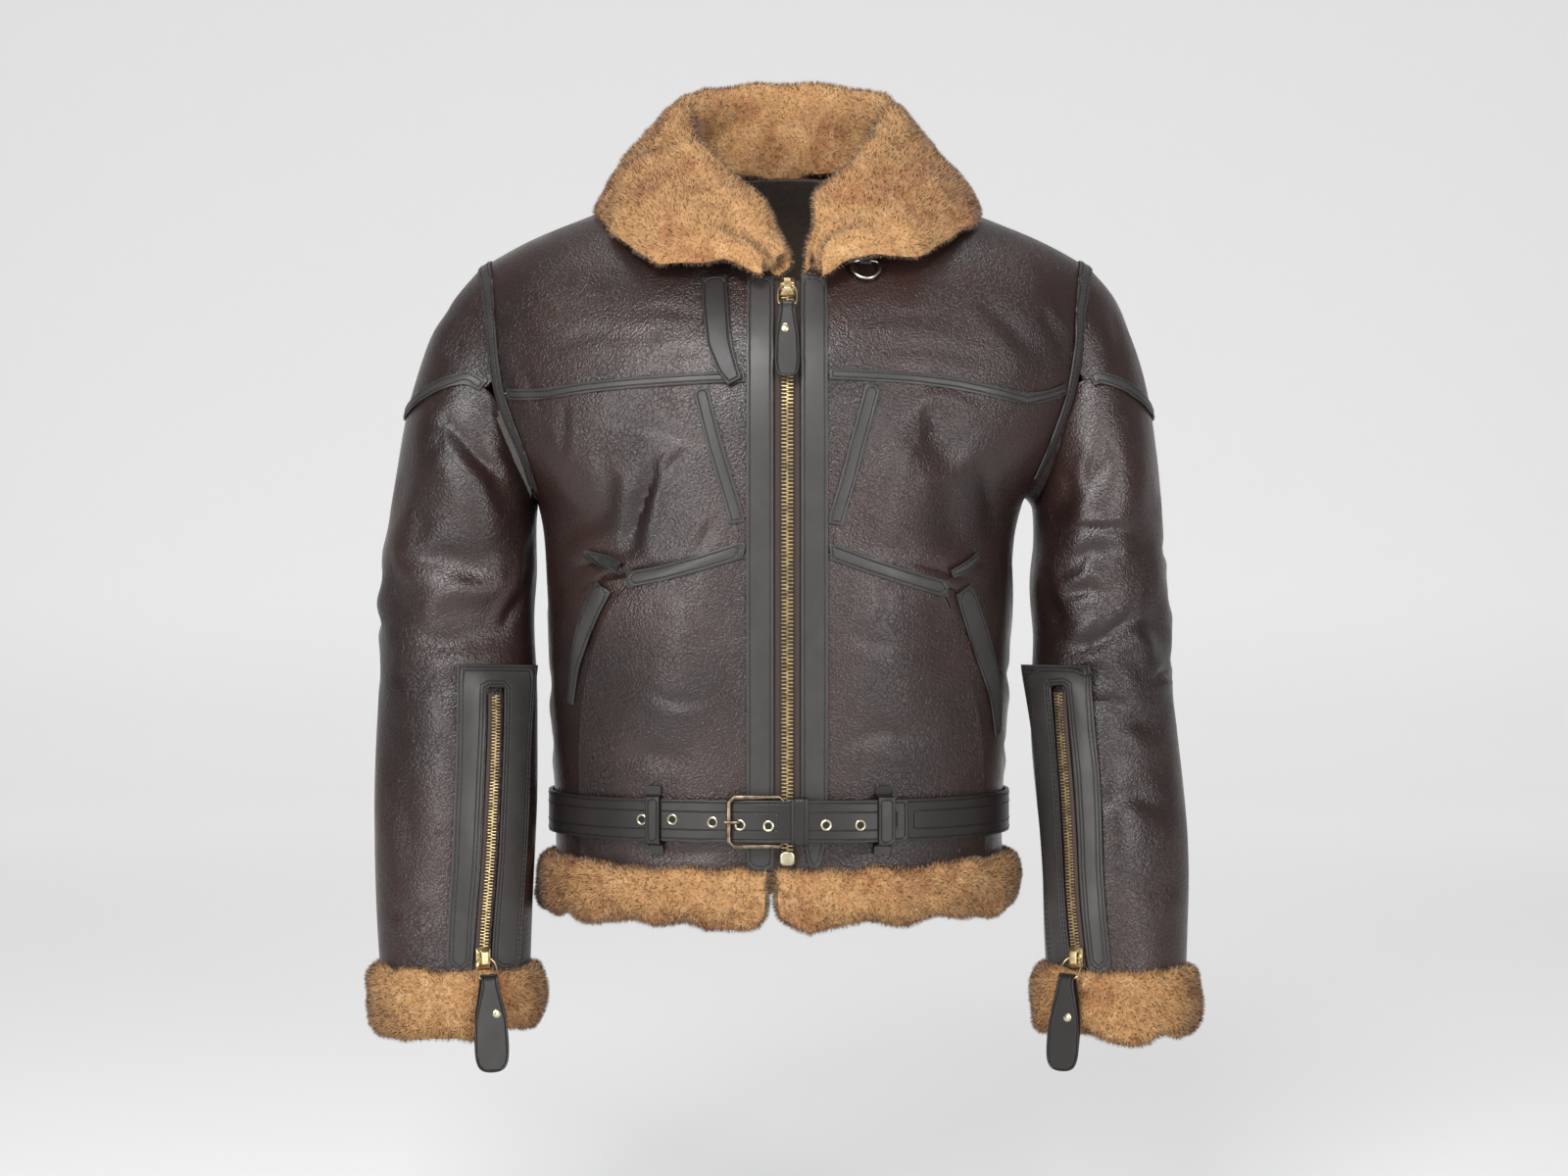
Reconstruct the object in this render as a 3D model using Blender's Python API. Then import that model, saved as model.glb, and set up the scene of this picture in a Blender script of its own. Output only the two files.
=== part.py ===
"""Sheepskin flying jacket, filled out as if worn: every sewn piece is its own hollow-backed solid.

Metres. +X is the wearer's left, -Y is the front, +Z is up. The origin lies midway between the shoulders.
A place on the body is (turn, level): turn 0 is centre front, 0.25 the wearer's left side and 0.5 centre
back; level counts the rings of TORSO_RINGS from the hem up. A place on a sleeve is (ring, station).
"""

import math
from typing import NamedTuple

import bmesh
import bpy
import numpy as np
from mathutils import Vector
from mathutils.bvhtree import BVHTree

WALL = 0.0036
SEAM_GAP = 0.0004
LIFT = 0.0007
TAPE_THICK = 0.0012
ARMHOLE_TAPE_HALF = 0.0056
SIDES = {"R": -1, "L": 1}


class Ring(NamedTuple):
    z_front: float
    z_side: float
    z_back: float
    half_width: float
    front: float
    back: float
    x_mid: float
    squareness: float


TORSO_RINGS = (
    Ring(-0.556, -0.540, -0.545, 0.183, 0.140, 0.118, -0.005, 2.30),
    Ring(-0.511, -0.507, -0.509, 0.186, 0.143, 0.121, -0.005, 2.30),
    Ring(-0.470, -0.470, -0.470, 0.186, 0.146, 0.122, -0.005, 2.35),
    Ring(-0.420, -0.420, -0.420, 0.189, 0.151, 0.125, -0.005, 2.40),
    Ring(-0.369, -0.369, -0.369, 0.1915, 0.155, 0.128, -0.005, 2.40),
    Ring(-0.320, -0.320, -0.320, 0.193, 0.157, 0.130, -0.005, 2.40),
    Ring(-0.280, -0.278, -0.276, 0.1945, 0.158, 0.132, -0.005, 2.40),
    Ring(-0.245, -0.240, -0.236, 0.1965, 0.158, 0.134, -0.005, 2.40),
    Ring(-0.222, -0.213, -0.208, 0.2030, 0.158, 0.135, -0.004, 2.40),
    Ring(-0.200, -0.185, -0.180, 0.2270, 0.157, 0.136, -0.004, 2.35),
    Ring(-0.172, -0.150, -0.145, 0.2460, 0.156, 0.136, -0.004, 2.30),
    Ring(-0.142, -0.112, -0.100, 0.2570, 0.154, 0.134, -0.002, 2.25),
    Ring(-0.112, -0.068, -0.050, 0.2640, 0.149, 0.130, 0.000, 2.20),
    Ring(-0.088, -0.030, -0.008, 0.2620, 0.143, 0.125, 0.000, 2.20),
    Ring(-0.072, -0.006, 0.018, 0.2360, 0.136, 0.119, 0.000, 2.15),
    Ring(-0.060, 0.012, 0.036, 0.1930, 0.130, 0.111, 0.000, 2.10),
    Ring(-0.048, 0.032, 0.052, 0.1430, 0.123, 0.098, 0.000, 2.05),
    Ring(-0.036, 0.052, 0.068, 0.0920, 0.116, 0.082, 0.000, 2.00),
)
TOP_LEVEL = len(TORSO_RINGS) - 1
HEM_LEVEL = 1.0


class Fold(NamedTuple):
    """A soft ridge, or a trough where the height is negative, between two places on the body."""

    turn_a: float
    level_a: float
    turn_b: float
    level_b: float
    half_width: float
    height: float


TORSO_FOLDS = (
    Fold(-0.075, 9.2, -0.095, 6.4, 0.018, -0.005),
    Fold(-0.135, 8.6, -0.110, 5.0, 0.026, 0.005),
    Fold(-0.060, 5.6, -0.070, 4.0, 0.024, 0.004),
    Fold(0.070, 11.4, 0.120, 8.4, 0.024, -0.006),
    Fold(0.075, 9.4, 0.105, 6.6, 0.026, 0.005),
    Fold(0.140, 7.8, 0.120, 4.4, 0.024, -0.004),
    Fold(0.060, 5.2, 0.050, 4.2, 0.022, 0.003),
    Fold(0.330, 9.0, 0.400, 5.6, 0.030, 0.006),
    Fold(0.665, 9.2, 0.600, 5.4, 0.030, 0.005),
    Fold(0.440, 4.6, 0.560, 4.2, 0.030, -0.005),
    Fold(0.300, 4.4, 0.420, 3.4, 0.028, 0.004),
)

# Seen from the front: x and z of points along each seam, for the two fronts.
FRONT_EDGE = {"R": -0.0088, "L": 0.0124}
PLACKET_EDGE = {"R": -0.0305, "L": 0.0340}
YOKE_SEAM = {
    "R": ((-0.0088, -0.120), (-0.068, -0.1225), (-0.115, -0.125), (-0.157, -0.128), (-0.199, -0.133)),
    "L": ((0.0124, -0.118), (0.0715, -0.120), (0.115, -0.122), (0.154, -0.128), (0.196, -0.137)),
}
DART_SEAM = {
    "R": ((-0.068, -0.1225), (-0.052, -0.185), (-0.0345, -0.2575)),
    "L": ((0.0715, -0.120), (0.054, -0.185), (0.0365, -0.2585)),
}
WAIST_FOOT = {
    "R": ((-0.0088, -0.2625), (-0.0345, -0.2575)),
    "L": ((0.0124, -0.2625), (0.0365, -0.2585)),
}
WAIST_SEAM = {
    "R": ((-0.0345, -0.2575), (-0.078, -0.271), (-0.124, -0.281)),
    "L": ((0.0365, -0.2585), (0.082, -0.275), (0.128, -0.288)),
}
POCKET_SEAM = {
    "R": ((-0.124, -0.281), (-0.141, -0.310), (-0.154, -0.340), (-0.1635, -0.385), (-0.166, -0.436), (-0.166, -0.506)),
    "L": ((0.128, -0.288), (0.137, -0.315), (0.146, -0.345), (0.155, -0.385), (0.161, -0.430), (0.163, -0.506)),
}
ARMHOLE_TOP_Z = -0.020
ARMHOLE_BOTTOM_Z = -0.212
ARMHOLE_FRONT = ((0.2475, -0.045), (0.2425, -0.085), (0.2355, -0.130), (0.2235, -0.162), (0.2090, -0.193))
AROUND = 20
YOKE_STATION = 5
UNDERARM = AROUND // 2


class Section(NamedTuple):
    """A cross-section of a sleeve: its outer and inner points seen from the front, and its depth."""

    x_out: float
    z_out: float
    x_in: float
    z_in: float
    y_front: float
    y_back: float


SLEEVE_SECTIONS = {
    "R": (
        Section(-0.2762, -0.0434, -0.2062, -0.2190, -0.070, 0.061),
        Section(-0.2933, -0.0706, -0.2068, -0.2280, -0.074, 0.066),
        Section(-0.3071, -0.1067, -0.2072, -0.2390, -0.077, 0.070),
        Section(-0.3168, -0.1436, -0.2072, -0.2520, -0.079, 0.072),
        Section(-0.3224, -0.1789, -0.2072, -0.2660, -0.078, 0.070),
        Section(-0.3288, -0.2134, -0.2072, -0.2805, -0.077, 0.067),
        Section(-0.3350, -0.2502, -0.2075, -0.2968, -0.076, 0.062),
        Section(-0.3390, -0.2870, -0.2078, -0.3148, -0.076, 0.057),
        Section(-0.3385, -0.3237, -0.2067, -0.3359, -0.077, 0.051),
        Section(-0.3371, -0.3603, -0.2047, -0.3619, -0.079, 0.045),
        Section(-0.3389, -0.3967, -0.2035, -0.3951, -0.082, 0.039),
        Section(-0.3398, -0.4330, -0.2037, -0.4313, -0.085, 0.032),
        Section(-0.3400, -0.4715, -0.2040, -0.4699, -0.088, 0.026),
        Section(-0.3384, -0.5132, -0.2055, -0.5115, -0.091, 0.019),
        Section(-0.3370, -0.5547, -0.2072, -0.5531, -0.093, 0.013),
        Section(-0.3332, -0.5968, -0.2084, -0.5968, -0.095, 0.006),
    ),
    "L": (
        Section(0.2772, -0.0434, 0.2062, -0.2190, -0.070, 0.061),
        Section(0.2869, -0.0706, 0.2068, -0.2280, -0.074, 0.066),
        Section(0.2999, -0.1067, 0.2072, -0.2390, -0.077, 0.070),
        Section(0.3064, -0.1436, 0.2072, -0.2520, -0.079, 0.072),
        Section(0.3111, -0.1789, 0.2060, -0.2660, -0.078, 0.070),
        Section(0.3142, -0.2134, 0.2045, -0.2805, -0.077, 0.067),
        Section(0.3164, -0.2502, 0.2035, -0.2968, -0.076, 0.062),
        Section(0.3187, -0.2870, 0.2052, -0.3164, -0.076, 0.057),
        Section(0.3244, -0.3213, 0.2063, -0.3359, -0.077, 0.051),
        Section(0.3210, -0.3538, 0.2035, -0.3619, -0.079, 0.045),
        Section(0.3251, -0.3967, 0.2025, -0.3951, -0.082, 0.039),
        Section(0.3284, -0.4330, 0.2033, -0.4313, -0.085, 0.032),
        Section(0.3319, -0.4715, 0.2076, -0.4699, -0.088, 0.026),
        Section(0.3336, -0.5132, 0.2118, -0.5115, -0.091, 0.019),
        Section(0.3322, -0.5547, 0.2117, -0.5531, -0.093, 0.013),
        Section(0.3300, -0.5968, 0.2133, -0.5968, -0.095, 0.006),
    ),
}
SLEEVE_ROWS = 15
CAP_DEPTH = 4.0
CAP_ROWS = 4


class SleeveFold(NamedTuple):
    """A ridge or trough between two places on a sleeve, as rings and stations round it."""

    ring_a: float
    station_a: float
    ring_b: float
    station_b: float
    half_width: float
    height: float


SLEEVE_FOLDS = {
    "R": (
        SleeveFold(4.2, 3.0, 6.2, 7.0, 0.020, 0.006),
        SleeveFold(5.6, 2.0, 7.6, 6.5, 0.017, -0.006),
        SleeveFold(7.0, 2.5, 7.6, 8.0, 0.020, 0.007),
        SleeveFold(8.6, 2.0, 8.4, 7.5, 0.018, -0.006),
        SleeveFold(9.8, 3.0, 10.6, 6.0, 0.022, 0.004),
        SleeveFold(6.0, 12.0, 8.0, 17.0, 0.024, 0.006),
        SleeveFold(8.4, 12.5, 9.6, 17.5, 0.022, -0.006),
        SleeveFold(12.0, 13.0, 13.0, 17.0, 0.024, 0.004),
    ),
    "L": (
        SleeveFold(5.0, 3.0, 7.4, 7.0, 0.020, 0.006),
        SleeveFold(6.4, 2.2, 8.4, 7.4, 0.016, -0.006),
        SleeveFold(7.6, 2.4, 9.2, 7.2, 0.018, 0.007),
        SleeveFold(8.8, 2.0, 10.0, 6.4, 0.017, -0.006),
        SleeveFold(10.2, 2.6, 11.4, 6.0, 0.020, 0.004),
        SleeveFold(6.2, 12.0, 8.2, 17.0, 0.024, 0.006),
        SleeveFold(8.6, 12.5, 9.8, 17.5, 0.022, -0.006),
        SleeveFold(12.2, 13.0, 13.2, 17.0, 0.024, 0.004),
    ),
}
CUFF_ZIP = {
    "R": ((10.35, 6.72), (12.0, 6.74), (14.2, 6.62), (15.9, 6.38)),
    "L": ((10.35, 7.25), (12.0, 7.05), (14.2, 7.35), (15.9, 6.95)),
}
CUFF_ZIP_ROOM = 0.40
CUFF_FACING_REACH = {"outward": 1.45, "inward": 1.95, "top_ring": 9.65}


class Stance(NamedTuple):
    """One cross-section of the collar's middle surface: neck seam, roll and outer edge."""

    neck: tuple
    roll: tuple
    edge: tuple


COLLAR = (
    Stance((0.000, 0.084, 0.074), (0.000, 0.094, 0.143), (0.000, 0.128, 0.048)),
    Stance((0.042, 0.074, 0.072), (0.048, 0.084, 0.141), (0.068, 0.121, 0.046)),
    Stance((0.074, 0.044, 0.066), (0.083, 0.052, 0.130), (0.122, 0.084, 0.040)),
    Stance((0.090, 0.000, 0.058), (0.092, -0.002, 0.104), (0.154, 0.022, 0.033)),
    Stance((0.082, -0.050, 0.030), (0.072, -0.048, 0.071), (0.144, -0.060, 0.016)),
    Stance((0.058, -0.088, 0.000), (0.048, -0.082, 0.036), (0.108, -0.122, -0.020)),
    Stance((0.030, -0.110, -0.022), (0.030, -0.104, 0.006), (0.060, -0.136, -0.026)),
    Stance((0.010, -0.118, -0.030), (0.014, -0.117, -0.010), (0.024, -0.140, -0.026)),
)
COLLAR_THICK = 0.015
COLLAR_ROLL = 0.013

# Cross-sections of the turned-up wool, as steps out from the body and down from the seam.
HEM_SECTION = (
    (-0.0036, 0.0006), (0.0040, 0.0006), (0.0120, 0.0045), (0.0165, 0.0160), (0.0165, 0.0290),
    (0.0120, 0.0410), (0.0040, 0.0460), (-0.0020, 0.0450), (-0.0052, 0.0300), (-0.0052, 0.0120),
)
CUFF_SECTION = (
    (-0.0036, 0.0006), (0.0030, 0.0006), (0.0100, 0.0060), (0.0135, 0.0200), (0.0130, 0.0380),
    (0.0080, 0.0520), (-0.0010, 0.0540), (-0.0060, 0.0400), (-0.0060, 0.0150),
)
HEM_SLIT = {"R": -0.0138, "L": -0.0072}

BELT_LEVEL = 2.0
BELT_HALF = 0.0165
BELT_THICK = 0.0030
# Where the belt runs, as x seen from the front on each side, and how far it stands off the body.
BELT_START = ((0.0030, 0.0058), (0.0450, 0.0056), (0.1000, 0.0034))
BELT_END = ((-0.1200, 0.0036), (-0.0700, 0.0042), (-0.0430, 0.0060), (-0.0120, 0.0098), (0.0040, 0.0102),
            (0.0200, 0.0094), (0.0600, 0.0090), (0.0930, 0.0080))
BUCKLE_BAR = 0.0021
BUCKLE_LEFT, BUCKLE_RIGHT, BUCKLE_HALF = -0.0430, -0.0006, 0.0193


class Loop(NamedTuple):
    """A leather loop that holds the belt: where it is and how far out it reaches."""

    turn: float
    half_width: float
    out: float


BELT_LOOPS = {
    "belt_loop_front_R": Loop(-0.0770, 0.0055, 0.0072),
    "belt_loop_front_L": Loop(0.0620, 0.0060, 0.0124),
    "belt_loop_back_R": Loop(0.6000, 0.0060, 0.0078),
    "belt_loop_back_L": Loop(0.4000, 0.0060, 0.0078),
}

COLOURS = {
    "hide": ((0.035, 0.021, 0.019), 0.42, 0.0),
    "smooth": ((0.065, 0.061, 0.058), 0.45, 0.0),
    "wool": ((0.500, 0.270, 0.110), 0.95, 0.0),
    "brass": ((0.300, 0.220, 0.110), 0.38, 1.0),
    "nickel": ((0.560, 0.540, 0.510), 0.25, 1.0),
}


def spline(rows, place):
    """The Catmull-Rom curve through the rows of a table, at a fractional row."""
    rows = np.asarray(rows, float)
    last = len(rows) - 1
    place = min(max(place, 0.0), float(last))
    i = min(int(place), last - 1)
    f = place - i
    a, b, c, d = rows[max(i - 1, 0)], rows[i], rows[i + 1], rows[min(i + 2, last)]
    return 0.5 * (2 * b + (c - a) * f + (2 * a - 5 * b + 4 * c - d) * f**2 + (3 * b - a - 3 * c + d) * f**3)


def unit(vector):
    return vector / max(float(np.linalg.norm(vector)), 1e-12)


def torso_form(turn, level):
    ring = Ring(*spline(TORSO_RINGS, level))
    sine, cosine = math.sin(math.tau * turn), math.cos(math.tau * turn)
    power = 2 / ring.squareness
    depth, z_end = (ring.front, ring.z_front) if cosine > 0 else (ring.back, ring.z_back)
    return np.array(
        (
            ring.x_mid + math.copysign(ring.half_width * abs(sine) ** power, sine),
            -math.copysign(depth * abs(cosine) ** power, cosine),
            ring.z_side + (z_end - ring.z_side) * cosine**2,
        )
    )


def torso_normal(turn, level):
    low, high = max(level - 0.05, 0.0), min(level + 0.05, TOP_LEVEL)
    across = torso_form(turn + 0.004, level) - torso_form(turn - 0.004, level)
    up = torso_form(turn, high) - torso_form(turn, low)
    return unit(np.cross(across, up))


def near_segment(point, a, b):
    along = b - a
    share = np.clip(np.dot(point - a, along) / max(np.dot(along, along), 1e-12), 0.0, 1.0)
    return float(np.linalg.norm(point - a - share * along))


FOLD_LINES = [
    (torso_form(fold.turn_a, fold.level_a), torso_form(fold.turn_b, fold.level_b), fold.half_width, fold.height)
    for fold in TORSO_FOLDS
]


def torso(turn, level):
    """The outer surface of the body with its folds."""
    point = torso_form(turn, level)
    height = 0.0
    for a, b, half_width, rise in FOLD_LINES:
        near = near_segment(point, a, b)
        if near < 3 * half_width:
            height += rise * math.exp(-((near / half_width) ** 2))
    return point + torso_normal(turn, level) * height


def front_spot(x, z):
    """Turn and level of the point of the front that is seen at x and z."""
    low, high = 0.0, float(TOP_LEVEL)
    for _ in range(36):
        level = (low + high) / 2
        ring = Ring(*spline(TORSO_RINGS, level))
        across = (x - ring.x_mid) / ring.half_width
        turn = math.copysign(math.asin(min(1.0, abs(across) ** (ring.squareness / 2))), across) / math.tau
        if torso_form(turn, level)[2] < z:
            low = level
        else:
            high = level
    return np.array((turn, level))


def side_spot(turn, z):
    low, high = 0.0, float(TOP_LEVEL)
    for _ in range(36):
        level = (low + high) / 2
        if torso_form(turn, level)[2] < z:
            low = level
        else:
            high = level
    return np.array((turn, level))


def evenly(spots, count, form=torso_form, before=None, after=None):
    """The smooth line through the spots, as count + 1 spots that lie evenly along it on the form."""
    rows = ([] if before is None else [before]) + list(spots) + ([] if after is None else [after])
    start = 0 if before is None else 1
    places = np.linspace(start, start + len(spots) - 1, 16 * (len(spots) - 1) + 1)
    dense = np.array([spline(rows, place) for place in places])
    points = np.array([form(*spot) for spot in dense])
    steps = np.linalg.norm(np.diff(points, axis=0), axis=1)
    run = np.concatenate([[0.0], np.cumsum(steps)])
    wanted = np.linspace(0, run[-1], count + 1)
    return np.stack([np.interp(wanted, run, dense[:, k]) for k in range(dense.shape[1])], axis=1)


def seam(points, count):
    return evenly([front_spot(x, z) for x, z in points], count)


def edge_line(side, z_top, z_bottom, count):
    """The front edge of one side, which runs straight down beside the zip."""
    heights = np.linspace(z_top, z_bottom, 7)
    return evenly([front_spot(FRONT_EDGE[side], z) for z in heights], count)


def chain(*lines):
    """Lines joined end to end."""
    return np.concatenate([lines[0]] + [line[1:] for line in lines[1:]])


def body_tree():
    """The whole surface of the body as fine facets, to set the inner points of a panel on."""
    turns, levels = np.linspace(0, 1, 161)[:-1], np.linspace(0, TOP_LEVEL, 104)
    points = [Vector(torso(turn, level)) for level in levels for turn in turns]
    count = len(turns)
    faces = []
    for i in range(len(levels) - 1):
        for j in range(count):
            k = (j + 1) % count
            faces.append((i * count + j, i * count + k, (i + 1) * count + k, (i + 1) * count + j))
    return BVHTree.FromPolygons(points, faces)


def coons(tree, top, bottom, left, right):
    """The panel between four lines of spots: rows run from top to bottom, columns from left to right."""
    top, bottom, left, right = (np.array([torso(*spot) for spot in line]) for line in (top, bottom, left, right))
    down = np.linspace(0, 1, len(left))[:, None, None]
    over = np.linspace(0, 1, len(top))[None, :, None]
    rows = (1 - down) * top[None] + down * bottom[None]
    columns = (1 - over) * left[:, None] + over * right[:, None]
    corners = (1 - down) * ((1 - over) * top[0] + over * top[-1])
    corners = corners + down * ((1 - over) * bottom[0] + over * bottom[-1])
    grid = rows + columns - corners
    for i in range(1, len(left) - 1):
        for j in range(1, len(top) - 1):
            grid[i, j] = tree.find_nearest(Vector(grid[i, j]))[0]
    grid[0], grid[-1], grid[:, 0], grid[:, -1] = top, bottom, left, right
    return grid


def clear_scene():
    for old in list(bpy.data.objects):
        bpy.data.objects.remove(old, do_unlink=True)


def material(kind):
    found = bpy.data.materials.get(kind)
    if found:
        return found
    colour, roughness, metallic = COLOURS[kind]
    made = bpy.data.materials.new(kind)
    made.use_nodes = True
    shader = made.node_tree.nodes["Principled BSDF"]
    shader.inputs["Base Color"].default_value = (*colour, 1.0)
    shader.inputs["Roughness"].default_value = roughness
    shader.inputs["Metallic"].default_value = metallic
    return made


def add_object(name, points, faces, kind):
    mesh = bpy.data.meshes.new(name)
    mesh.from_pydata([tuple(map(float, point)) for point in points], [], faces)
    made = bmesh.new()
    made.from_mesh(mesh)
    bmesh.ops.recalc_face_normals(made, faces=made.faces)
    if made.calc_volume(signed=True) < 0:
        bmesh.ops.reverse_faces(made, faces=made.faces)
    made.to_mesh(mesh)
    made.free()
    mesh.materials.append(material(kind))
    bpy.context.collection.objects.link(bpy.data.objects.new(name, mesh))


def sheet_solid(name, outer, inner, kind, wrap=False):
    """The solid between two grids of points. With wrap, the last column joins the first."""
    rows, columns = outer.shape[:2]
    points = np.concatenate([outer.reshape(-1, 3), inner.reshape(-1, 3)])
    back = rows * columns

    def at(i, j):
        return i * columns + j % columns

    faces = []
    spans = columns if wrap else columns - 1
    for i in range(rows - 1):
        for j in range(spans):
            a, b, c, d = at(i, j), at(i, j + 1), at(i + 1, j + 1), at(i + 1, j)
            faces += [(a, b, c), (a, c, d), (back + c, back + b, back + a), (back + d, back + c, back + a)]
    for j in range(spans):
        for i, turned in ((0, False), (rows - 1, True)):
            a, b = at(i, j), at(i, j + 1)
            faces.append((a, b, back + b, back + a) if turned else (b, a, back + a, back + b))
    if not wrap:
        for i in range(rows - 1):
            for j, turned in ((0, True), (columns - 1, False)):
                a, b = at(i, j), at(i + 1, j)
                faces.append((a, b, back + b, back + a) if turned else (b, a, back + a, back + b))
    add_object(name, points, faces, kind)


def sweep_solid(name, sections, kind, closed=False):
    """The solid through a run of cross-sections, each a ring of points, capped unless it closes on itself."""
    sections = np.asarray(sections, float)
    count, around = sections.shape[:2]
    faces = []
    for i in range(count if closed else count - 1):
        for j in range(around):
            a, b = i * around, (i + 1) % count * around
            k = (j + 1) % around
            faces.append((a + j, a + k, b + k, b + j))
    if not closed:
        faces.append(tuple(reversed(range(around))))
        faces.append(tuple((count - 1) * around + j for j in range(around)))
    add_object(name, sections.reshape(-1, 3), faces, kind)


def wire(name, centres, radius, kind, closed=True, around=6):
    """A round bar bent along the centres."""
    centres = np.asarray(centres, float)
    count = len(centres)
    flat = unit(np.linalg.svd(centres - centres.mean(axis=0))[2][2])
    sections = []
    for i in range(count):
        before = centres[i - 1] if closed or i else centres[i]
        after = centres[(i + 1) % count] if closed or i < count - 1 else centres[i]
        out = unit(np.cross(after - before, flat))
        turns = [math.tau * (k + 0.5) / around for k in range(around)]
        sections.append([centres[i] + radius * (math.cos(t) * out + math.sin(t) * flat) for t in turns])
    sweep_solid(name, sections, kind, closed)


class Skin:
    """The outer surface of every sewn panel, with seam points shared by the panels that meet there."""

    def __init__(self):
        self.grids = {}
        self.wraps = {}
        self.sums = {}
        self.trees = {}

    def add(self, name, grid, centres, wrap=False):
        """Keeps a panel. The centres, one a row, lie inside the garment and tell which way is out."""
        self.grids[name] = grid
        self.wraps[name] = wrap
        rows, columns = grid.shape[:2]
        found, facing = [], 0.0
        for i in range(rows - 1):
            for j in range(columns if wrap else columns - 1):
                k = (j + 1) % columns
                corners = [grid[i, j], grid[i, k], grid[i + 1, k], grid[i + 1, j]]
                out = np.cross(corners[2] - corners[0], corners[3] - corners[1])
                facing += np.dot(out, np.mean(corners, axis=0) - centres[i])
                found.append((corners, out))
        for corners, out in found:
            for corner in corners:
                key = self.key(corner)
                self.sums[key] = self.sums.get(key, 0) + (out if facing > 0 else -out)

    @staticmethod
    def key(point):
        return tuple(np.round(point * 1e5).astype(int))

    def normal(self, point):
        return unit(self.sums[self.key(point)])

    def normals(self, points):
        shape = points.shape
        return np.array([self.normal(point) for point in points.reshape(-1, 3)]).reshape(shape)

    def close(self):
        """Makes a surface to lay things on from the body's panels, one from each sleeve, and one from them all."""
        parts = {"body": ([], []), "R": ([], []), "L": ([], []), "all": ([], [])}
        for name, grid in self.grids.items():
            rows, columns = grid.shape[:2]
            own = name[-1] if name.startswith("sleeve") else "body"
            for points, faces in (parts[own], parts["all"]):
                start = len(points)
                points.extend(Vector(point) for point in grid.reshape(-1, 3))
                for i in range(rows - 1):
                    for j in range(columns if self.wraps[name] else columns - 1):
                        k = (j + 1) % columns
                        a, b = start + i * columns, start + (i + 1) * columns
                        faces.append((a + j, a + k, b + k))
                        faces.append((a + j, b + k, b + j))
        for own, (points, faces) in parts.items():
            self.trees[own] = BVHTree.FromPolygons(points, faces)

    def touch(self, own, point, normal, reach=0.012):
        """The point of a surface under this one, looking back along the normal."""
        start = Vector(point + normal * reach)
        hit = self.trees[own].ray_cast(start, Vector(-normal), 2.5 * reach)[0]
        if hit is None:
            hit = self.trees[own].find_nearest(Vector(point))[0]
        return np.array(hit)

    def settle(self, own, grid, normals, reach=0.006, room=0.0005):
        """The grid moved out along its normals until every facet of it clears the skin."""
        grid = grid.copy()
        rows, columns = grid.shape[:2]
        shares = [(a / 7, b / 7) for a in range(8) for b in range(8 - a)]
        for _ in range(6):
            rise = np.zeros((rows, columns))
            for i in range(rows - 1):
                for j in range(columns - 1):
                    for ends in (((i, j), (i, j + 1), (i + 1, j + 1)), ((i, j), (i + 1, j + 1), (i + 1, j))):
                        a, b, c = (grid[end] for end in ends)
                        normal = unit(sum(normals[end] for end in ends))
                        for u, v in shares:
                            spot = a + (b - a) * u + (c - a) * v
                            deep = np.dot(self.touch(own, spot, normal, reach) - spot, normal) + room
                            if 0 < deep < reach:
                                for end in ends:
                                    rise[end] = max(rise[end], deep)
            grid += normals * rise[..., None]
        return grid

    def clear_of(self, point, outward, distance):
        """The point moved out until it is this far from the skin."""
        for _ in range(12):
            near, _, _, gap = self.trees["all"].find_nearest(Vector(point))
            away = point - np.array(near)
            if gap >= distance and np.dot(away, outward) > 0:
                break
            point = point + outward * 0.0012
        return point

    def solid(self, name, kind, tip_cut=0.0):
        """The panel as a solid. A tip cut takes off that share of the first and last span of a pointed panel."""
        grid, wrap = self.grids[name], self.wraps[name]
        normals = self.normals(grid)
        grid = grid.copy()
        if tip_cut:
            grid[:, 0] += (grid[:, 1] - grid[:, 0]) * tip_cut
            grid[:, -1] += (grid[:, -2] - grid[:, -1]) * tip_cut
        outer = grid.copy()

        def draw_in(edge, inner):
            steps = inner - edge
            lengths = np.linalg.norm(steps, axis=-1, keepdims=True)
            return steps / np.maximum(lengths, 1e-9) * np.minimum(SEAM_GAP / 2, 0.3 * lengths)

        outer[0] += draw_in(grid[0], grid[1])
        outer[-1] += draw_in(grid[-1], grid[-2])
        if not wrap:
            outer[:, 0] += draw_in(grid[:, 0], grid[:, 1])
            outer[:, -1] += draw_in(grid[:, -1], grid[:, -2])
        sheet_solid(name, outer, outer - normals * WALL, kind, wrap)


def armhole(side):
    """The armhole as spots on the body: the top, down the front, the underarm and up the back."""
    sign = SIDES[side]
    top = side_spot(0.25 * sign, ARMHOLE_TOP_Z)
    bottom = side_spot(0.25 * sign, ARMHOLE_BOTTOM_Z)
    front = [front_spot(sign * x, z) for x, z in ARMHOLE_FRONT]
    back = [np.array((0.5 * sign - spot[0], spot[1])) for spot in front]
    half = AROUND // 2
    forward = evenly([top] + front + [bottom], half, before=back[0], after=back[-1])
    rear = evenly([bottom] + back[::-1] + [top], half, before=front[-1], after=front[0])
    return chain(forward, rear)[:-1]


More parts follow.
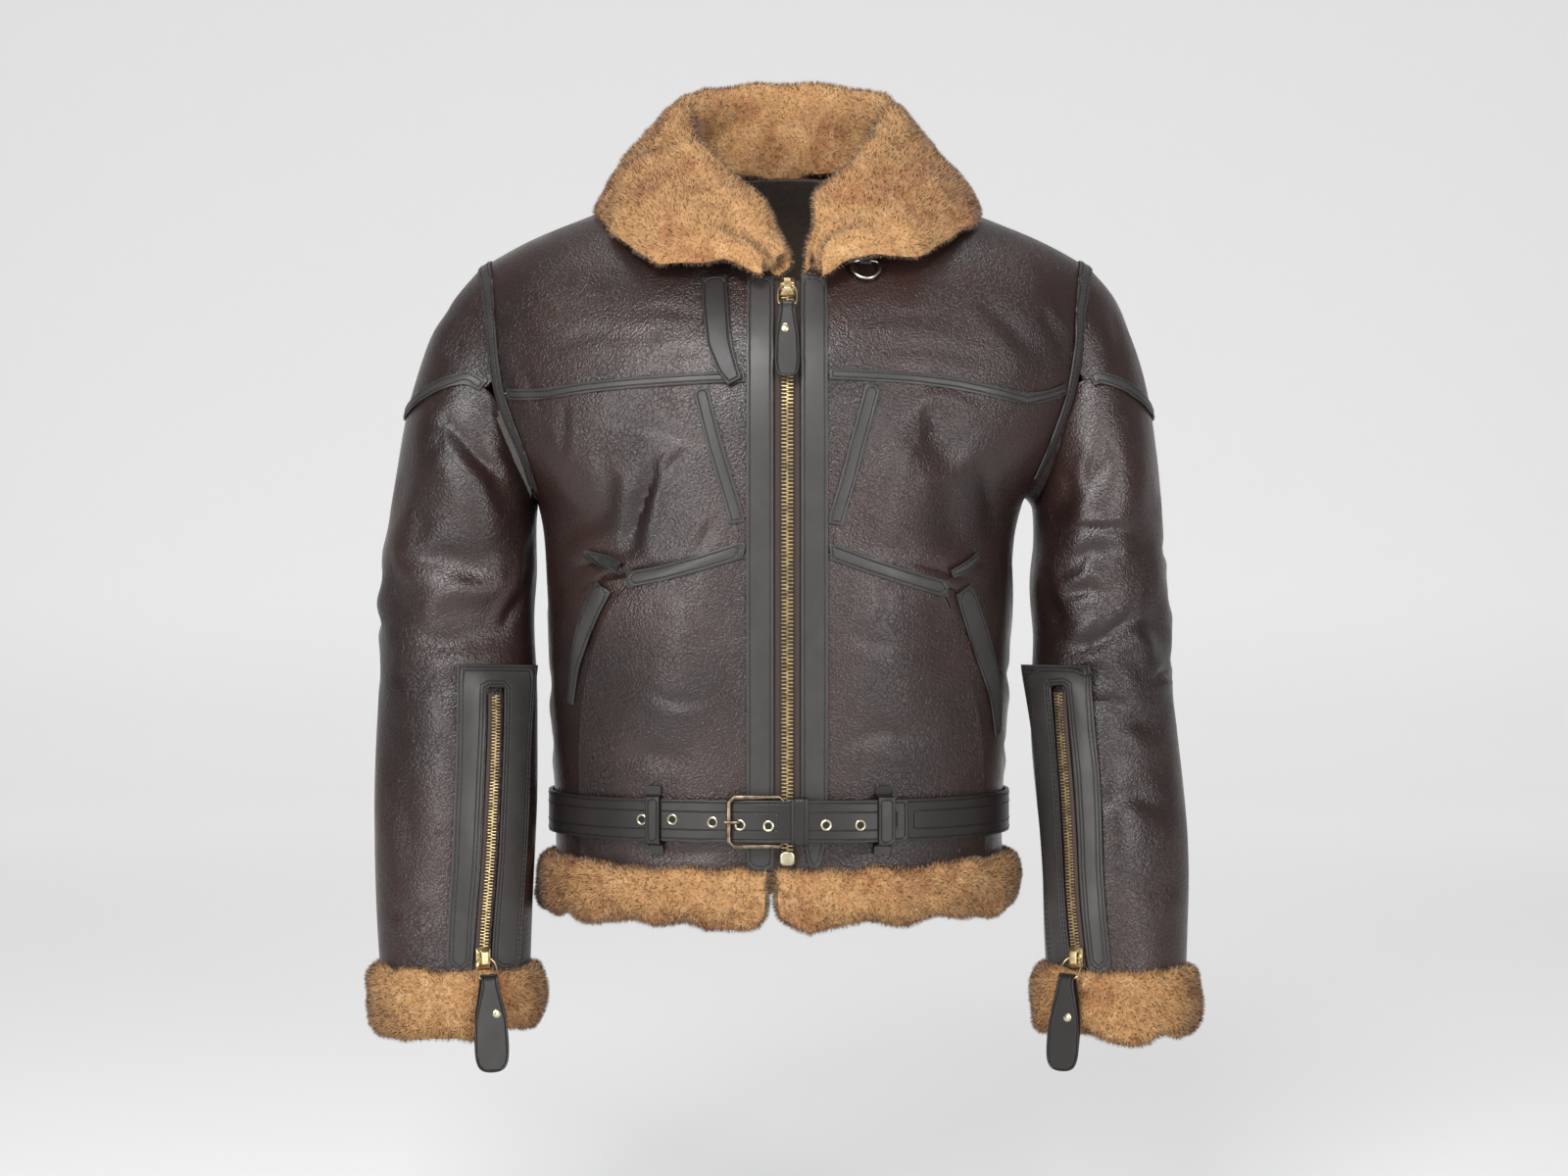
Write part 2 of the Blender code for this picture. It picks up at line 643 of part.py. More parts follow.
def build_torso(skin):
    """Adds the front panels and the back to the skin, and returns the seams for the tapes."""
    seams = {}
    tree = body_tree()
    for side, sign in SIDES.items():
        hole = armhole(side)
        meet = hole[YOKE_STATION]
        edge = FRONT_EDGE[side]
        yoke_in = seam(YOKE_SEAM[side][:2], 2)
        yoke_out = evenly([front_spot(x, z) for x, z in YOKE_SEAM[side][1:]] + [meet], 6)
        dart = seam(DART_SEAM[side], 5)
        foot = seam(WAIST_FOOT[side], 2)
        waist = seam(WAIST_SEAM[side], 3)
        pocket = seam(POCKET_SEAM[side], 8)
        pocket[-1, 1] = HEM_LEVEL
        neck_front = front_spot(edge, torso_form(front_spot(edge, -0.036)[0], TOP_LEVEL)[2])
        neck_front[1] = TOP_LEVEL
        shoulder = evenly([np.array((0.25 * sign, TOP_LEVEL)), hole[0]], 4)
        neck = evenly([neck_front, np.array((0.125 * sign, TOP_LEVEL)), shoulder[0]], 4)
        hem_edge = front_spot(edge, -0.5)
        hem_edge[1] = HEM_LEVEL
        hem_side = np.array((0.25 * sign, HEM_LEVEL))
        edge_yoke = edge_line(side, torso_form(*neck_front)[2], YOKE_SEAM[side][0][1], 5)
        edge_yoke[0], edge_yoke[-1] = neck_front, yoke_in[0]
        edge_inset = edge_line(side, YOKE_SEAM[side][0][1], WAIST_FOOT[side][0][1], 5)
        edge_inset[0], edge_inset[-1] = yoke_in[0], foot[0]
        edge_lower = edge_line(side, WAIST_FOOT[side][0][1], torso_form(*hem_edge)[2], 8)
        edge_lower[0], edge_lower[-1] = foot[0], hem_edge
        side_line = evenly([hole[UNDERARM], hem_side], 11)
        hem_in = evenly([hem_edge, pocket[-1]], 5)
        hem_out = evenly([pocket[-1], hem_side], 6)
        panels = {
            "yoke_front": coons(
                tree, chain(neck, shoulder), chain(yoke_in, yoke_out), edge_yoke, hole[: YOKE_STATION + 1]
            ),
            "front_inset": coons(tree, yoke_in, foot, edge_inset, dart),
            "front_side": coons(
                tree,
                yoke_out,
                hem_out,
                chain(dart, waist, pocket),
                chain(hole[YOKE_STATION : UNDERARM + 1], side_line),
            ),
            "front_lower": coons(tree, chain(foot, waist), hem_in, edge_lower, pocket),
        }
        for name, grid in panels.items():
            middles = [np.array((0.0, 0.0, row[:, 2].mean() - 0.03)) for row in grid]
            skin.add(f"{name}_{side}", grid, middles)
        seams[side] = {
            "hole": hole,
            "yoke": chain(yoke_in, yoke_out),
            "dart": dart,
            "waist": chain(foot, waist),
            "pocket": pocket,
            "shoulder": shoulder,
            "side": side_line,
            "hem": chain(hem_in, hem_out),
            "edge": chain(edge_yoke, edge_inset, edge_lower),
        }
    lap = np.array((1.0, 0.0))
    left, right = seams["L"], seams["R"]
    back_neck = evenly([np.array((0.25 + 0.125 * k, TOP_LEVEL)) for k in range(5)], 8)
    back_hem = evenly([np.array((0.25 + 0.125 * k, HEM_LEVEL)) for k in range(5)], 16)
    rear_left = np.concatenate([left["hole"][UNDERARM:], left["hole"][:1]])[::-1]
    rear_right = np.concatenate([right["hole"][UNDERARM:], right["hole"][:1]])[::-1]
    # From behind, the wearer's right lies at turns from 0.5 to 0.75, a whole turn further on.
    top = chain(left["shoulder"][::-1], back_neck, right["shoulder"] + lap)
    sides = (chain(rear_left, left["side"]), chain(rear_right, right["side"]) + lap)
    grid = coons(tree, top, back_hem, *sides)
    skin.add("back", grid, [np.array((0.0, 0.0, row[:, 2].mean() - 0.03)) for row in grid])
    seams["back_hem"] = back_hem
    return seams


def sleeve_rings(side, hole):
    """Every ring of a sleeve, from the armhole to the cuff, with its folds."""
    rings = [np.array([torso(*spot) for spot in hole])]
    turns = [math.tau * k / AROUND for k in range(AROUND)]
    for section in SLEEVE_SECTIONS[side]:
        outer = np.array((section.x_out, (section.y_front + section.y_back) / 2, section.z_out))
        inner = np.array((section.x_in, (section.y_front + section.y_back) / 2, section.z_in))
        middle, reach = (outer + inner) / 2, (outer - inner) / 2
        depth = np.array((0.0, (section.y_back - section.y_front) / 2, 0.0))
        rings.append(np.array([middle + math.cos(t) * reach - math.sin(t) * depth for t in turns]))
    rings = np.array(rings)
    plain = rings.copy()
    for fold in SLEEVE_FOLDS[side]:
        a = sleeve_point(plain, fold.ring_a, fold.station_a)
        b = sleeve_point(plain, fold.ring_b, fold.station_b)
        for i in range(2, len(rings)):
            middle = plain[i].mean(axis=0)
            for k in range(AROUND):
                out = unit(plain[i, k] - middle)
                near = near_segment(plain[i, k], a, b)
                rings[i, k] += out * fold.height * math.exp(-((near / fold.half_width) ** 2))
    return rings


def sleeve_point(rings, ring, station):
    row = spline(rings, ring)
    k = int(station % AROUND)
    share = station % AROUND - k
    return (1 - share) * row[k] + share * row[(k + 1) % AROUND]


def build_sleeves(skin, seams):
    for side in SIDES:
        rings = sleeve_rings(side, seams[side]["hole"])
        last = len(rings) - 1
        cap_stations = list(range(-YOKE_STATION, YOKE_STATION + 1))
        depths = {k: CAP_DEPTH * math.cos(math.pi / 2 * k / YOKE_STATION) ** 0.8 for k in cap_stations}
        depths[-YOKE_STATION] = depths[YOKE_STATION] = 0.0
        cap = np.array(
            [
                [spline(rings, depths[k] * i / CAP_ROWS)[k % AROUND] for k in cap_stations]
                for i in range(CAP_ROWS + 1)
            ]
        )
        starts = [depths.get(k if k <= AROUND // 2 else k - AROUND, 0.0) for k in range(AROUND)]
        tube = np.array(
            [
                [spline(rings, starts[k] + (last - starts[k]) * i / SLEEVE_ROWS)[k] for k in range(AROUND)]
                for i in range(SLEEVE_ROWS + 1)
            ]
        )
        skin.add(f"sleeve_cap_{side}", cap, [rings[3].mean(axis=0)] * (CAP_ROWS + 1))
        skin.add(f"sleeve_{side}", tube, [row.mean(axis=0) for row in tube], wrap=True)
        seams[side]["rings"] = rings
        seams[side]["cap"] = cap[-1]
        seams[side]["armhole"] = rings[0]


def side_steps(points, normals):
    """The direction across a strip at each of its stations."""
    steps = []
    for i in range(len(points)):
        along = points[min(i + 1, len(points) - 1)] - points[max(i - 1, 0)]
        steps.append(unit(np.cross(along, normals[i])))
    return np.array(steps)


def lay_strip(skin, name, points, normals, half_widths, kind, lift=LIFT, thick=TAPE_THICK, crown=0.0004,
              across=(-1.0, 0.0, 1.0), own="body", reach=0.006):
    """A strip of leather laid along a line on the panels."""
    steps = side_steps(points, normals)
    lower = np.empty((len(points), len(across), 3))
    outs = np.repeat(np.array(normals)[:, None], len(across), axis=1)
    for i, (point, normal) in enumerate(zip(points, normals)):
        for j, share in enumerate(across):
            spot = skin.touch(own, point + steps[i] * share * half_widths[i], normal, reach)
            lower[i, j] = spot + normal * lift
    lower = skin.settle(own, lower, outs, reach)
    heights = np.array([thick + crown * (1 - share**2) for share in across])
    sheet_solid(name, lower + outs * heights[None, :, None], lower, kind)


def start_at(points, normals, x_edge):
    """The run with its part nearer the middle than x_edge cut off."""
    for i in range(len(points) - 1):
        if abs(points[i + 1][0]) > abs(x_edge):
            share = (abs(x_edge) - abs(points[i][0])) / (abs(points[i + 1][0]) - abs(points[i][0]))
            share = min(max(share, 0.0), 0.95)
            first = (1 - share) * points[i] + share * points[i + 1]
            normal = unit((1 - share) * normals[i] + share * normals[i + 1])
            return np.concatenate([[first], points[i + 1 :]]), np.concatenate([[normal], normals[i + 1 :]])
    return points, normals


def shorten(points, start, end):
    """The run with a length cut off each end."""
    points = points.copy()
    points[0] += unit(points[1] - points[0]) * start
    points[-1] += unit(points[-2] - points[-1]) * end
    return points


def build_tapes(skin, seams):
    for side, sign in SIDES.items():
        lines = seams[side]
        placket = abs(PLACKET_EDGE[side]) + 0.0012
        runs = {
            "yoke": (lines["yoke"], 0.0045, 0.0, 0.0185),
            "dart": (lines["dart"], 0.0062, 0.0080, 0.0215),
            "waist": (lines["waist"], 0.0064, 0.0, 0.0004),
        }
        for name, (spots, half, start, end) in runs.items():
            points = np.array([torso(*spot) for spot in spots])
            normals = skin.normals(points)
            if name != "dart":
                points, normals = start_at(points, normals, placket)
            points = shorten(points, start, end)
            lay_strip(skin, f"tape_{name}_{side}", points, normals, [half] * len(points), "smooth")
        # This strip lies just inside the armhole on the body, so the sleeve can't push it off.
        stations = [k % AROUND for k in range(-8, 9)]
        hole = [lines["hole"][k] for k in stations]
        points = np.array([torso(*spot) for spot in hole])
        normals = np.array([torso_normal(*spot) for spot in hole])
        inward = side_steps(points, normals) * sign
        points = points + inward * (ARMHOLE_TAPE_HALF + 0.0012)
        lay_strip(skin, f"tape_armhole_{side}", points, normals, [ARMHOLE_TAPE_HALF] * len(points), "smooth")
        cap = lines["cap"]
        normals = skin.normals(cap)
        points = shorten(cap, 0.0100, 0.0100)
        lay_strip(skin, f"tape_sleeve_{side}", points, normals, [0.0050] * len(points), "smooth", own=side)
        build_placket(skin, side)


def build_placket(skin, side):
    inner = FRONT_EDGE[side]
    outer = PLACKET_EDGE[side]
    heights = np.linspace(-0.0400, -0.5090, 16)
    half = abs(outer - inner) / 2
    spots = [front_spot((inner + outer) / 2, z) for z in heights]
    points = np.array([torso(*spot) for spot in spots])
    normals = np.array([torso_normal(*spot) for spot in spots])
    halves = [half - 0.0003] * len(points)
    if side == "L":
        halves[-1] = 0.0040
    lay_strip(skin, f"placket_{side}", points, normals, halves, "smooth", crown=0.0002)


def build_pockets(skin, seams):
    """A welt along the top of each pocket and a smooth facing down its slanted edge."""
    rows = {
        "pocket_welt_R": (((-0.1290, -0.2700), (-0.1450, -0.2640), (-0.1600, -0.2600)), (0.0040, 0.0045, 0.0035)),
        "pocket_welt_L": (((0.1330, -0.2760), (0.1460, -0.2690), (0.1570, -0.2610)), (0.0035, 0.0045, 0.0035)),
        "pocket_facing_R": (
            ((-0.1420, -0.2850), (-0.1560, -0.3150), (-0.1680, -0.3500), (-0.1720, -0.3800)),
            (0.0095, 0.0080, 0.0060, 0.0040),
        ),
        "pocket_facing_L": (
            ((0.1440, -0.2880), (0.1580, -0.3300), (0.1700, -0.3700), (0.1730, -0.4050)),
            (0.0100, 0.0120, 0.0110, 0.0070),
        ),
    }
    for name, (seen, halves) in rows.items():
        spots = [front_spot(x, z) for x, z in seen]
        points = np.array([torso(*spot) for spot in spots])
        normals = np.array([torso_normal(*spot) for spot in spots])
        lay_strip(skin, name, points, normals, halves, "smooth")


def strip_section(centre, across, out, half, profile):
    return [centre + across * half * share + out * height for share, height in profile]


ZIP_PROFILE = ((-1, -0.0026), (1, -0.0026), (1, -0.0012), (0.50, -0.0012), (0.46, 0.0008), (-0.46, 0.0008),
               (-0.50, -0.0012), (-1, -0.0012))
CUFF_ZIP_PROFILE = ((-1, 0.0007), (1, 0.0007), (1, 0.0012), (0.60, 0.0024), (-0.60, 0.0024), (-1, 0.0012))


def build_front_zip():
    sections = []
    heights = np.linspace(-0.0420, -0.5080, 18)
    half = (FRONT_EDGE["L"] - FRONT_EDGE["R"]) / 2 - 0.0006
    middle = (FRONT_EDGE["L"] + FRONT_EDGE["R"]) / 2
    for z in heights:
        turn, level = front_spot(middle, z)
        out = torso_normal(turn, level)
        sections.append(strip_section(torso(turn, level), np.array((1.0, 0, 0)), out, half, ZIP_PROFILE))
    sweep_solid("zip_front", sections, "brass")
    turn, level = front_spot(middle, -0.4995)
    box_solid("zip_box", torso(turn, level) + torso_normal(turn, level) * 0.0030, torso_normal(turn, level),
              (0.0060, 0.0016, 0.0060), "brass")


def box_solid(name, centre, out, halves, kind, up=(0.0, 0.0, 1.0)):
    """A box with small chamfers whose front faces along out."""
    across = unit(np.cross(np.array(up), out))
    high = unit(np.cross(out, across))
    sections = []
    for depth, share in ((-1, 1.0), (0.4, 1.0), (1, 0.8)):
        ring = [(-1, -0.6), (-0.6, -1), (0.6, -1), (1, -0.6), (1, 0.6), (0.6, 1), (-0.6, 1), (-1, 0.6)]
        sections.append(
            [
                centre + out * depth * halves[1] + across * x * share * halves[0] + high * z * share * halves[2]
                for x, z in ring
            ]
        )
    sweep_solid(name, sections, kind)


def build_cuffs(skin, seams):
    for side in SIDES:
        rings = seams[side]["rings"]
        last = len(rings) - 1
        turned = CUFF_ZIP[side]

        def zip_station(ring):
            return float(np.interp(ring, [row[0] for row in turned], [row[1] for row in turned]))

        def on_sleeve(ring, station):
            point = sleeve_point(rings, ring, station)
            middle = spline(rings, ring).mean(axis=0)
            across = sleeve_point(rings, ring, station + 0.4) - sleeve_point(rings, ring, station - 0.4)
            down = sleeve_point(rings, min(ring + 0.3, last), station) - sleeve_point(rings, ring - 0.3, station)
            normal = unit(np.cross(across, down))
            return point, normal if np.dot(normal, point - middle) > 0 else -normal

        sections = []
        for ring in np.linspace(10.35, last - 0.15, 9):
            point, normal = on_sleeve(ring, zip_station(ring))
            spot = skin.touch(side, point, normal, 0.006)
            down = on_sleeve(min(ring + 0.2, last), zip_station(ring))[0] - point
            across = unit(np.cross(down, normal))
            sections.append(strip_section(spot + normal * 0.0003, across, normal, 0.0060, CUFF_ZIP_PROFILE))
        sweep_solid(f"zip_cuff_{side}", sections, "brass")

        room, reach = CUFF_ZIP_ROOM, CUFF_FACING_REACH
        top = reach["top_ring"]
        inner, outer = [], []
        downs = np.linspace(last - 0.02, 10.2, 7)
        for ring in downs:
            station = zip_station(ring)
            inner.append((ring, station - room))
            outer.append((ring if ring > 10.3 else top, station - reach["outward"]))
        for ring in downs[::-1]:
            station = zip_station(ring)
            inner.append((ring, station + room))
            outer.append((ring if ring > 10.3 else top, station + reach["inward"]))
        lower = np.empty((len(inner), 3, 3))
        outs = np.empty_like(lower)
        for i, (a, b) in enumerate(zip(inner, outer)):
            for j, share in enumerate((0.0, 0.5, 1.0)):
                ring, station = (1 - share) * np.array(a) + share * np.array(b)
                point, outs[i, j] = on_sleeve(ring, station)
                lower[i, j] = skin.touch(side, point, outs[i, j], 0.006) + outs[i, j] * LIFT
        lower = skin.settle(side, lower, outs, room=0.0007)
        sheet_solid(f"cuff_facing_{side}", lower + outs * TAPE_THICK, lower, "smooth")

        end = rings[-1]
        middle = end.mean(axis=0)
        along = unit(middle - rings[-3].mean(axis=0))
        sections = []
        for point in end:
            out = point - middle
            out = unit(out - along * np.dot(out, along))
            sections.append([point + out * step + along * drop for step, drop in CUFF_SECTION])
        sweep_solid(f"cuff_fur_{side}", sections, "wool", closed=True)

        point, normal = on_sleeve(last - 0.35, zip_station(last - 0.35))
        build_pull(f"cuff_{side}", point + normal * 0.0030, normal, CUFF_PULL)


class Pull(NamedTuple):
    """A zip pull: the wire bail and its folded leather tab. Lengths run down from the slider."""

    bail_half: float
    bail_drop: float
    tab_wide: float
    tab_length: float
    bail_lean: float
    tab_lean: float


TAB_THICK = 0.0014
FRONT_PULL = Pull(0.0077, 0.0185, 0.0100, 0.0640, 0.66, 0.46)
CUFF_PULL = Pull(0.0085, 0.0200, 0.0145, 0.0740, 0.86, 0.12)


def build_pull(name, seat, out, pull):
    """The slider on its seat, the bail through the slider's bridge and the leather tab on the bail."""
    across = unit(np.cross(np.array((0.0, 0.0, 1.0)), out))
    down = unit(np.cross(across, out))
    down = down if down[2] < 0 else -down
    outer = ((-0.0085, 0.0), (0.0085, 0.0), (0.0085, 0.0026), (0.0050, 0.0070), (-0.0050, 0.0070), (-0.0085, 0.0026))
    inner = ((-0.0034, 0.0022), (0.0034, 0.0022), (0.0034, 0.0032), (0.0030, 0.0056), (-0.0030, 0.0056), (-0.0034, 0.0032))
    points, faces = [], []
    for x in (-1, 1):
        for profile, half in ((outer, 0.0060), (inner, 0.0060)):
            for along, height in profile:
                wide = half if height < 0.0030 else 0.0028
                points.append(seat + across * x * wide + down * along + out * height)
    count = len(outer)
    for k in range(count):
        n = (k + 1) % count
        faces.append((k, n, 2 * count + n, 2 * count + k))
        faces.append((count + n, count + k, 3 * count + k, 3 * count + n))
        faces.append((n, k, count + k, count + n))
        faces.append((2 * count + k, 2 * count + n, 3 * count + n, 3 * count + k))
    add_object(f"slider_{name}", points, faces, "brass")

    pivot = seat + out * 0.0043
    level_out = out * np.array((1.0, 1.0, 0.0))
    hang = unit(np.array((0.0, 0.0, -1.0)) + level_out * pull.bail_lean)
    drop, half = pull.bail_drop, pull.bail_half
    shape = ((-0.0036, 0.0), (0.0, 0.0), (0.0036, 0.0), (half * 0.85, 0.003), (half, 0.007), (half, drop - 0.002),
             (half - 0.002, drop), (0.0, drop), (2e-3 - half, drop), (-half, drop - 0.002), (-half, 0.007),
             (-half * 0.85, 0.003))
    wire(f"bail_{name}", [pivot + across * x + hang * z for x, z in shape], 0.0009, "brass")

    bar = pivot + hang * drop
    hang = unit(np.array((0.0, 0.0, -1.0)) + level_out * pull.tab_lean)
    away = unit(np.cross(hang, across))
    away = away if np.dot(away, out) > 0 else -away
    narrow = (half - 0.0016) / pull.tab_wide
    length = pull.tab_length
    # The tab's strip of leather, from the end behind, up and over the bail's bar, to the end in front.
    path = (
        (-0.0026, 0.78, 0.84 * length), (-0.0026, 0.90, 0.45 * length), (-0.0026, narrow, 0.0060),
        (-0.0024, narrow, 0.0), (0.0, narrow, -0.0024), (0.0024, narrow, 0.0), (0.0020, narrow, 0.0060),
        (0.0010, 0.94, 0.45 * length), (0.0010, 1.00, 0.80 * length), (0.0010, 0.86, 0.93 * length),
        (0.0010, 0.50, length),
    )
    inner_layer, outer_layer = [], []
    for lean, share, fall in path:
        base = bar + away * lean + hang * fall
        step = -hang if fall < -0.001 else away * math.copysign(1.0, lean)
        sides = [across * pull.tab_wide * share * k for k in (-1, 0, 1)]
        inner_layer.append([base + shift for shift in sides])
        outer_layer.append([base + shift + step * TAB_THICK for shift in sides])
    sheet_solid(f"tab_{name}", np.array(outer_layer), np.array(inner_layer), "smooth")


def collar_section(stance):
    """Points of the collar's middle surface from the neck seam, over the roll, to the outer edge."""
    neck, roll, edge = (np.array(point) for point in stance)
    away = edge - neck
    away[2] = 0.0
    away = unit(away)
    high = np.array((0.0, 0.0, 1.0))
    radius = min(COLLAR_ROLL, 0.42 * max(roll[2] - neck[2], 0.012))
    hub = roll - high * radius
    points = [neck + (hub - away * radius - neck) * share for share in (0.0, 0.33, 0.67)]
    for k in range(5):
        angle = math.pi * k / 4
        points.append(hub - away * radius * math.cos(angle) + high * radius * math.sin(angle))
    start = hub + away * radius
    for share in (0.25, 0.5, 0.75, 1.0):
        bulge = (away + high) * 0.006 * math.sin(math.pi * share)
        points.append(start + (edge - start) * share + bulge)
    return np.array(points), radius


def build_collar(skin):
    rows = []
    mirror = np.array((-1.0, 1.0, 1.0))
    for stance in COLLAR[:0:-1]:
        rows.append([mirror * np.array(point) for point in stance])
    rows += [[np.array(point) for point in stance] for stance in COLLAR]
    table = np.array(rows)
    sections, radii = [], []
    for place in np.linspace(0, len(table) - 1, 29):
        points, radius = collar_section(spline(table, place))
        sections.append(points)
        radii.append(radius)
    middle = np.array(sections)
    count, along = middle.shape[:2]
    normals = np.empty_like(middle)
    for i in range(count):
        for j in range(along):
            over = middle[min(i + 1, count - 1), j] - middle[max(i - 1, 0), j]
            down = middle[i, min(j + 1, along - 1)] - middle[i, max(j - 1, 0)]
            normals[i, j] = unit(np.cross(down, over))
    if normals[count // 2, 5][2] < 0:
        normals = -normals
    halves = np.empty((count, along))
    for i in range(count):
        for j in range(along):
            full = min(COLLAR_THICK, 1.5 * radii[i]) / 2
            edge = min(i, count - 1 - i) / 2 + 0.55
            rim = min(j / 1.5 + 0.5, (along - 1 - j) / 1.5 + 0.42)
            halves[i, j] = full * min(1.0, edge, rim)
    for i in range(count):
        for j in range(along):
            if j in (3, 4, 5, 6, 7):
                continue
            outward = np.array((0.0, 0.0, 1.0)) if j < 3 else normals[i, j]
            middle[i, j] = skin.clear_of(middle[i, j], outward, halves[i, j] + 0.0016)
    top = middle + normals * halves[..., None]
    bottom = middle - normals * halves[..., None]
    sheet_solid("collar", top, bottom, "wool")


def build_hem(seams):
    for side in SIDES:
        front = seams[side]["hem"]
        slit = front_spot(HEM_SLIT[side], -0.5)
        slit[1] = HEM_LEVEL
        spots = [slit] + [spot for spot in front[1:]]
        rear = seams["back_hem"][1:9] if side == "L" else seams["back_hem"][::-1][1:9]
        spots += [spot.copy() for spot in rear]
        spots[-1][0] += -0.0004 if side == "L" else 0.0004
        sections = []
        for turn, level in spots:
            point = torso(turn, level)
            out = torso_normal(turn, level) * np.array((1.0, 1.0, 0.0))
            out = unit(out)
            sections.append([point + out * step - np.array((0, 0, drop)) for step, drop in HEM_SECTION])
        sweep_solid(f"hem_fur_{side}", sections, "wool")


def belt_turn(x):
    return front_spot(x, -0.470)[0]


def build_belt(skin):
    """One strap that starts at the buckle's bar, runs round the body and comes back over itself."""
    start = [(belt_turn(x), lift) for x, lift in BELT_START]
    end = [(belt_turn(x) + 1.0, lift) for x, lift in BELT_END]
    turns = np.array([row[0] for row in start + end])
    lifts = np.array([row[1] for row in start + end])
    places = np.concatenate(
        [
            np.linspace(turns[0], turns[2], 5),
            np.linspace(turns[2], turns[3], 32)[1:-1],
            turns[3:6],
            [(turns[6] + turns[7]) / 2 - 0.004, turns[7]],
            np.linspace(turns[8], turns[-1], 5),
        ]
    )
    outer, inner = [], []
    for turn in places:
        lift = float(np.interp(turn, turns, lifts))
        point = torso_form(turn % 1.0, BELT_LEVEL)
        out = unit(torso_normal(turn % 1.0, BELT_LEVEL) * np.array((1.0, 1.0, 0.0)))
        high = np.array((0.0, 0.0, BELT_HALF))
        inner.append([point + out * lift - high, point + out * lift, point + out * lift + high])
        away = out * (lift + BELT_THICK)
        outer.append([point + away - high, point + away, point + away + high])
    sheet_solid("belt", np.array(outer), np.array(inner), "smooth")

    def front(x, out, drop=0.0):
        turn = belt_turn(x)
        return torso_form(turn, BELT_LEVEL) + unit(torso_normal(turn, BELT_LEVEL) * np.array((1, 1, 0))) * out \
            - np.array((0.0, 0.0, drop))

    left, right, half = BUCKLE_LEFT, BUCKLE_RIGHT, BUCKLE_HALF
    mid = (left + right) / 2
    shape = (
        (right, 0.0072, -half + 0.004), (right, 0.0072, 0.0), (right, 0.0072, half - 0.004),
        (right - 0.004, 0.0076, half), (mid, 0.0100, half), (left + 0.004, 0.0116, half),
        (left, 0.0122, half - 0.004), (left, 0.0122, 0.0), (left, 0.0122, -half + 0.004),
        (left + 0.004, 0.0116, -half), (mid, 0.0100, -half), (right - 0.004, 0.0076, -half),
    )
    wire("buckle", [front(x, out, drop) for x, out, drop in shape], BUCKLE_BAR, "brass", around=8)
    wire("prong", [front(-0.0345, 0.0122), front(-0.0375, 0.0146), front(-0.0430, 0.0164), front(-0.0462, 0.0158)],
         0.0015, "brass", closed=False)

    keeper = []
    for x in (0.0050, 0.0110, 0.0170):
        turn = belt_turn(x)
        out = unit(torso_normal(turn, BELT_LEVEL) * np.array((1, 1, 0)))
        point = torso_form(turn, BELT_LEVEL)
        rim = ((0.0038, 0.0170), (0.0038, -0.0170), (0.0046, -0.0188), (0.0140, -0.0188), (0.0150, -0.0178),
               (0.0150, 0.0178), (0.0140, 0.0188), (0.0046, 0.0188))
        hole = ((0.0050, 0.0169), (0.0050, -0.0169), (0.0052, -0.0172), (0.0136, -0.0172), (0.0138, -0.0170),
                (0.0138, 0.0170), (0.0136, 0.0172), (0.0052, 0.0172))
        keeper.append([[point + out * a + np.array((0, 0, b)) for a, b in ring] for ring in (rim, hole)])
    keeper = np.array(keeper)
    sheet_solid("keeper", keeper[:, 0], keeper[:, 1], "smooth", wrap=True)

    for name, loop in BELT_LOOPS.items():
        rows = []
        for place in (-loop.half_width, 0.0, loop.half_width):
            turn = loop.turn + place / (math.tau * 0.165)
            point = torso_form(turn, BELT_LEVEL)
            out = unit(torso_normal(turn, BELT_LEVEL) * np.array((1, 1, 0)))
            profile = ((-0.0270, 0.0010), (-0.0195, 0.0012), (-0.0178, loop.out), (0.0, loop.out + 0.0002),
                       (0.0178, loop.out), (0.0195, 0.0012), (0.0270, 0.0010))
            row = []
            for rise, off in profile:
                spot = point + np.array((0.0, 0.0, rise))
                row.append((skin.touch("body", spot, out, 0.010) if abs(rise) > 0.018 else spot) + out * off)
            rows.append(row)
        rows = np.array(rows)
        outs = []
        for k, row in enumerate(rows):
            turn = loop.turn + (-1, 0, 1)[k] * loop.half_width / (math.tau * 0.165)
            out = unit(torso_normal(turn, BELT_LEVEL) * np.array((1, 1, 0)))
            steps = []
            for j in range(7):
                up = row[min(j + 1, 6)] - row[max(j - 1, 0)]
                step = up - out * np.dot(up, out)
                lean = unit(out * np.dot(up, unit(step)) - unit(step) * np.dot(up, out))
                steps.append(row[j] + lean * 0.0016)
            outs.append(steps)
        sheet_solid(name, np.array(outs), rows, "smooth")


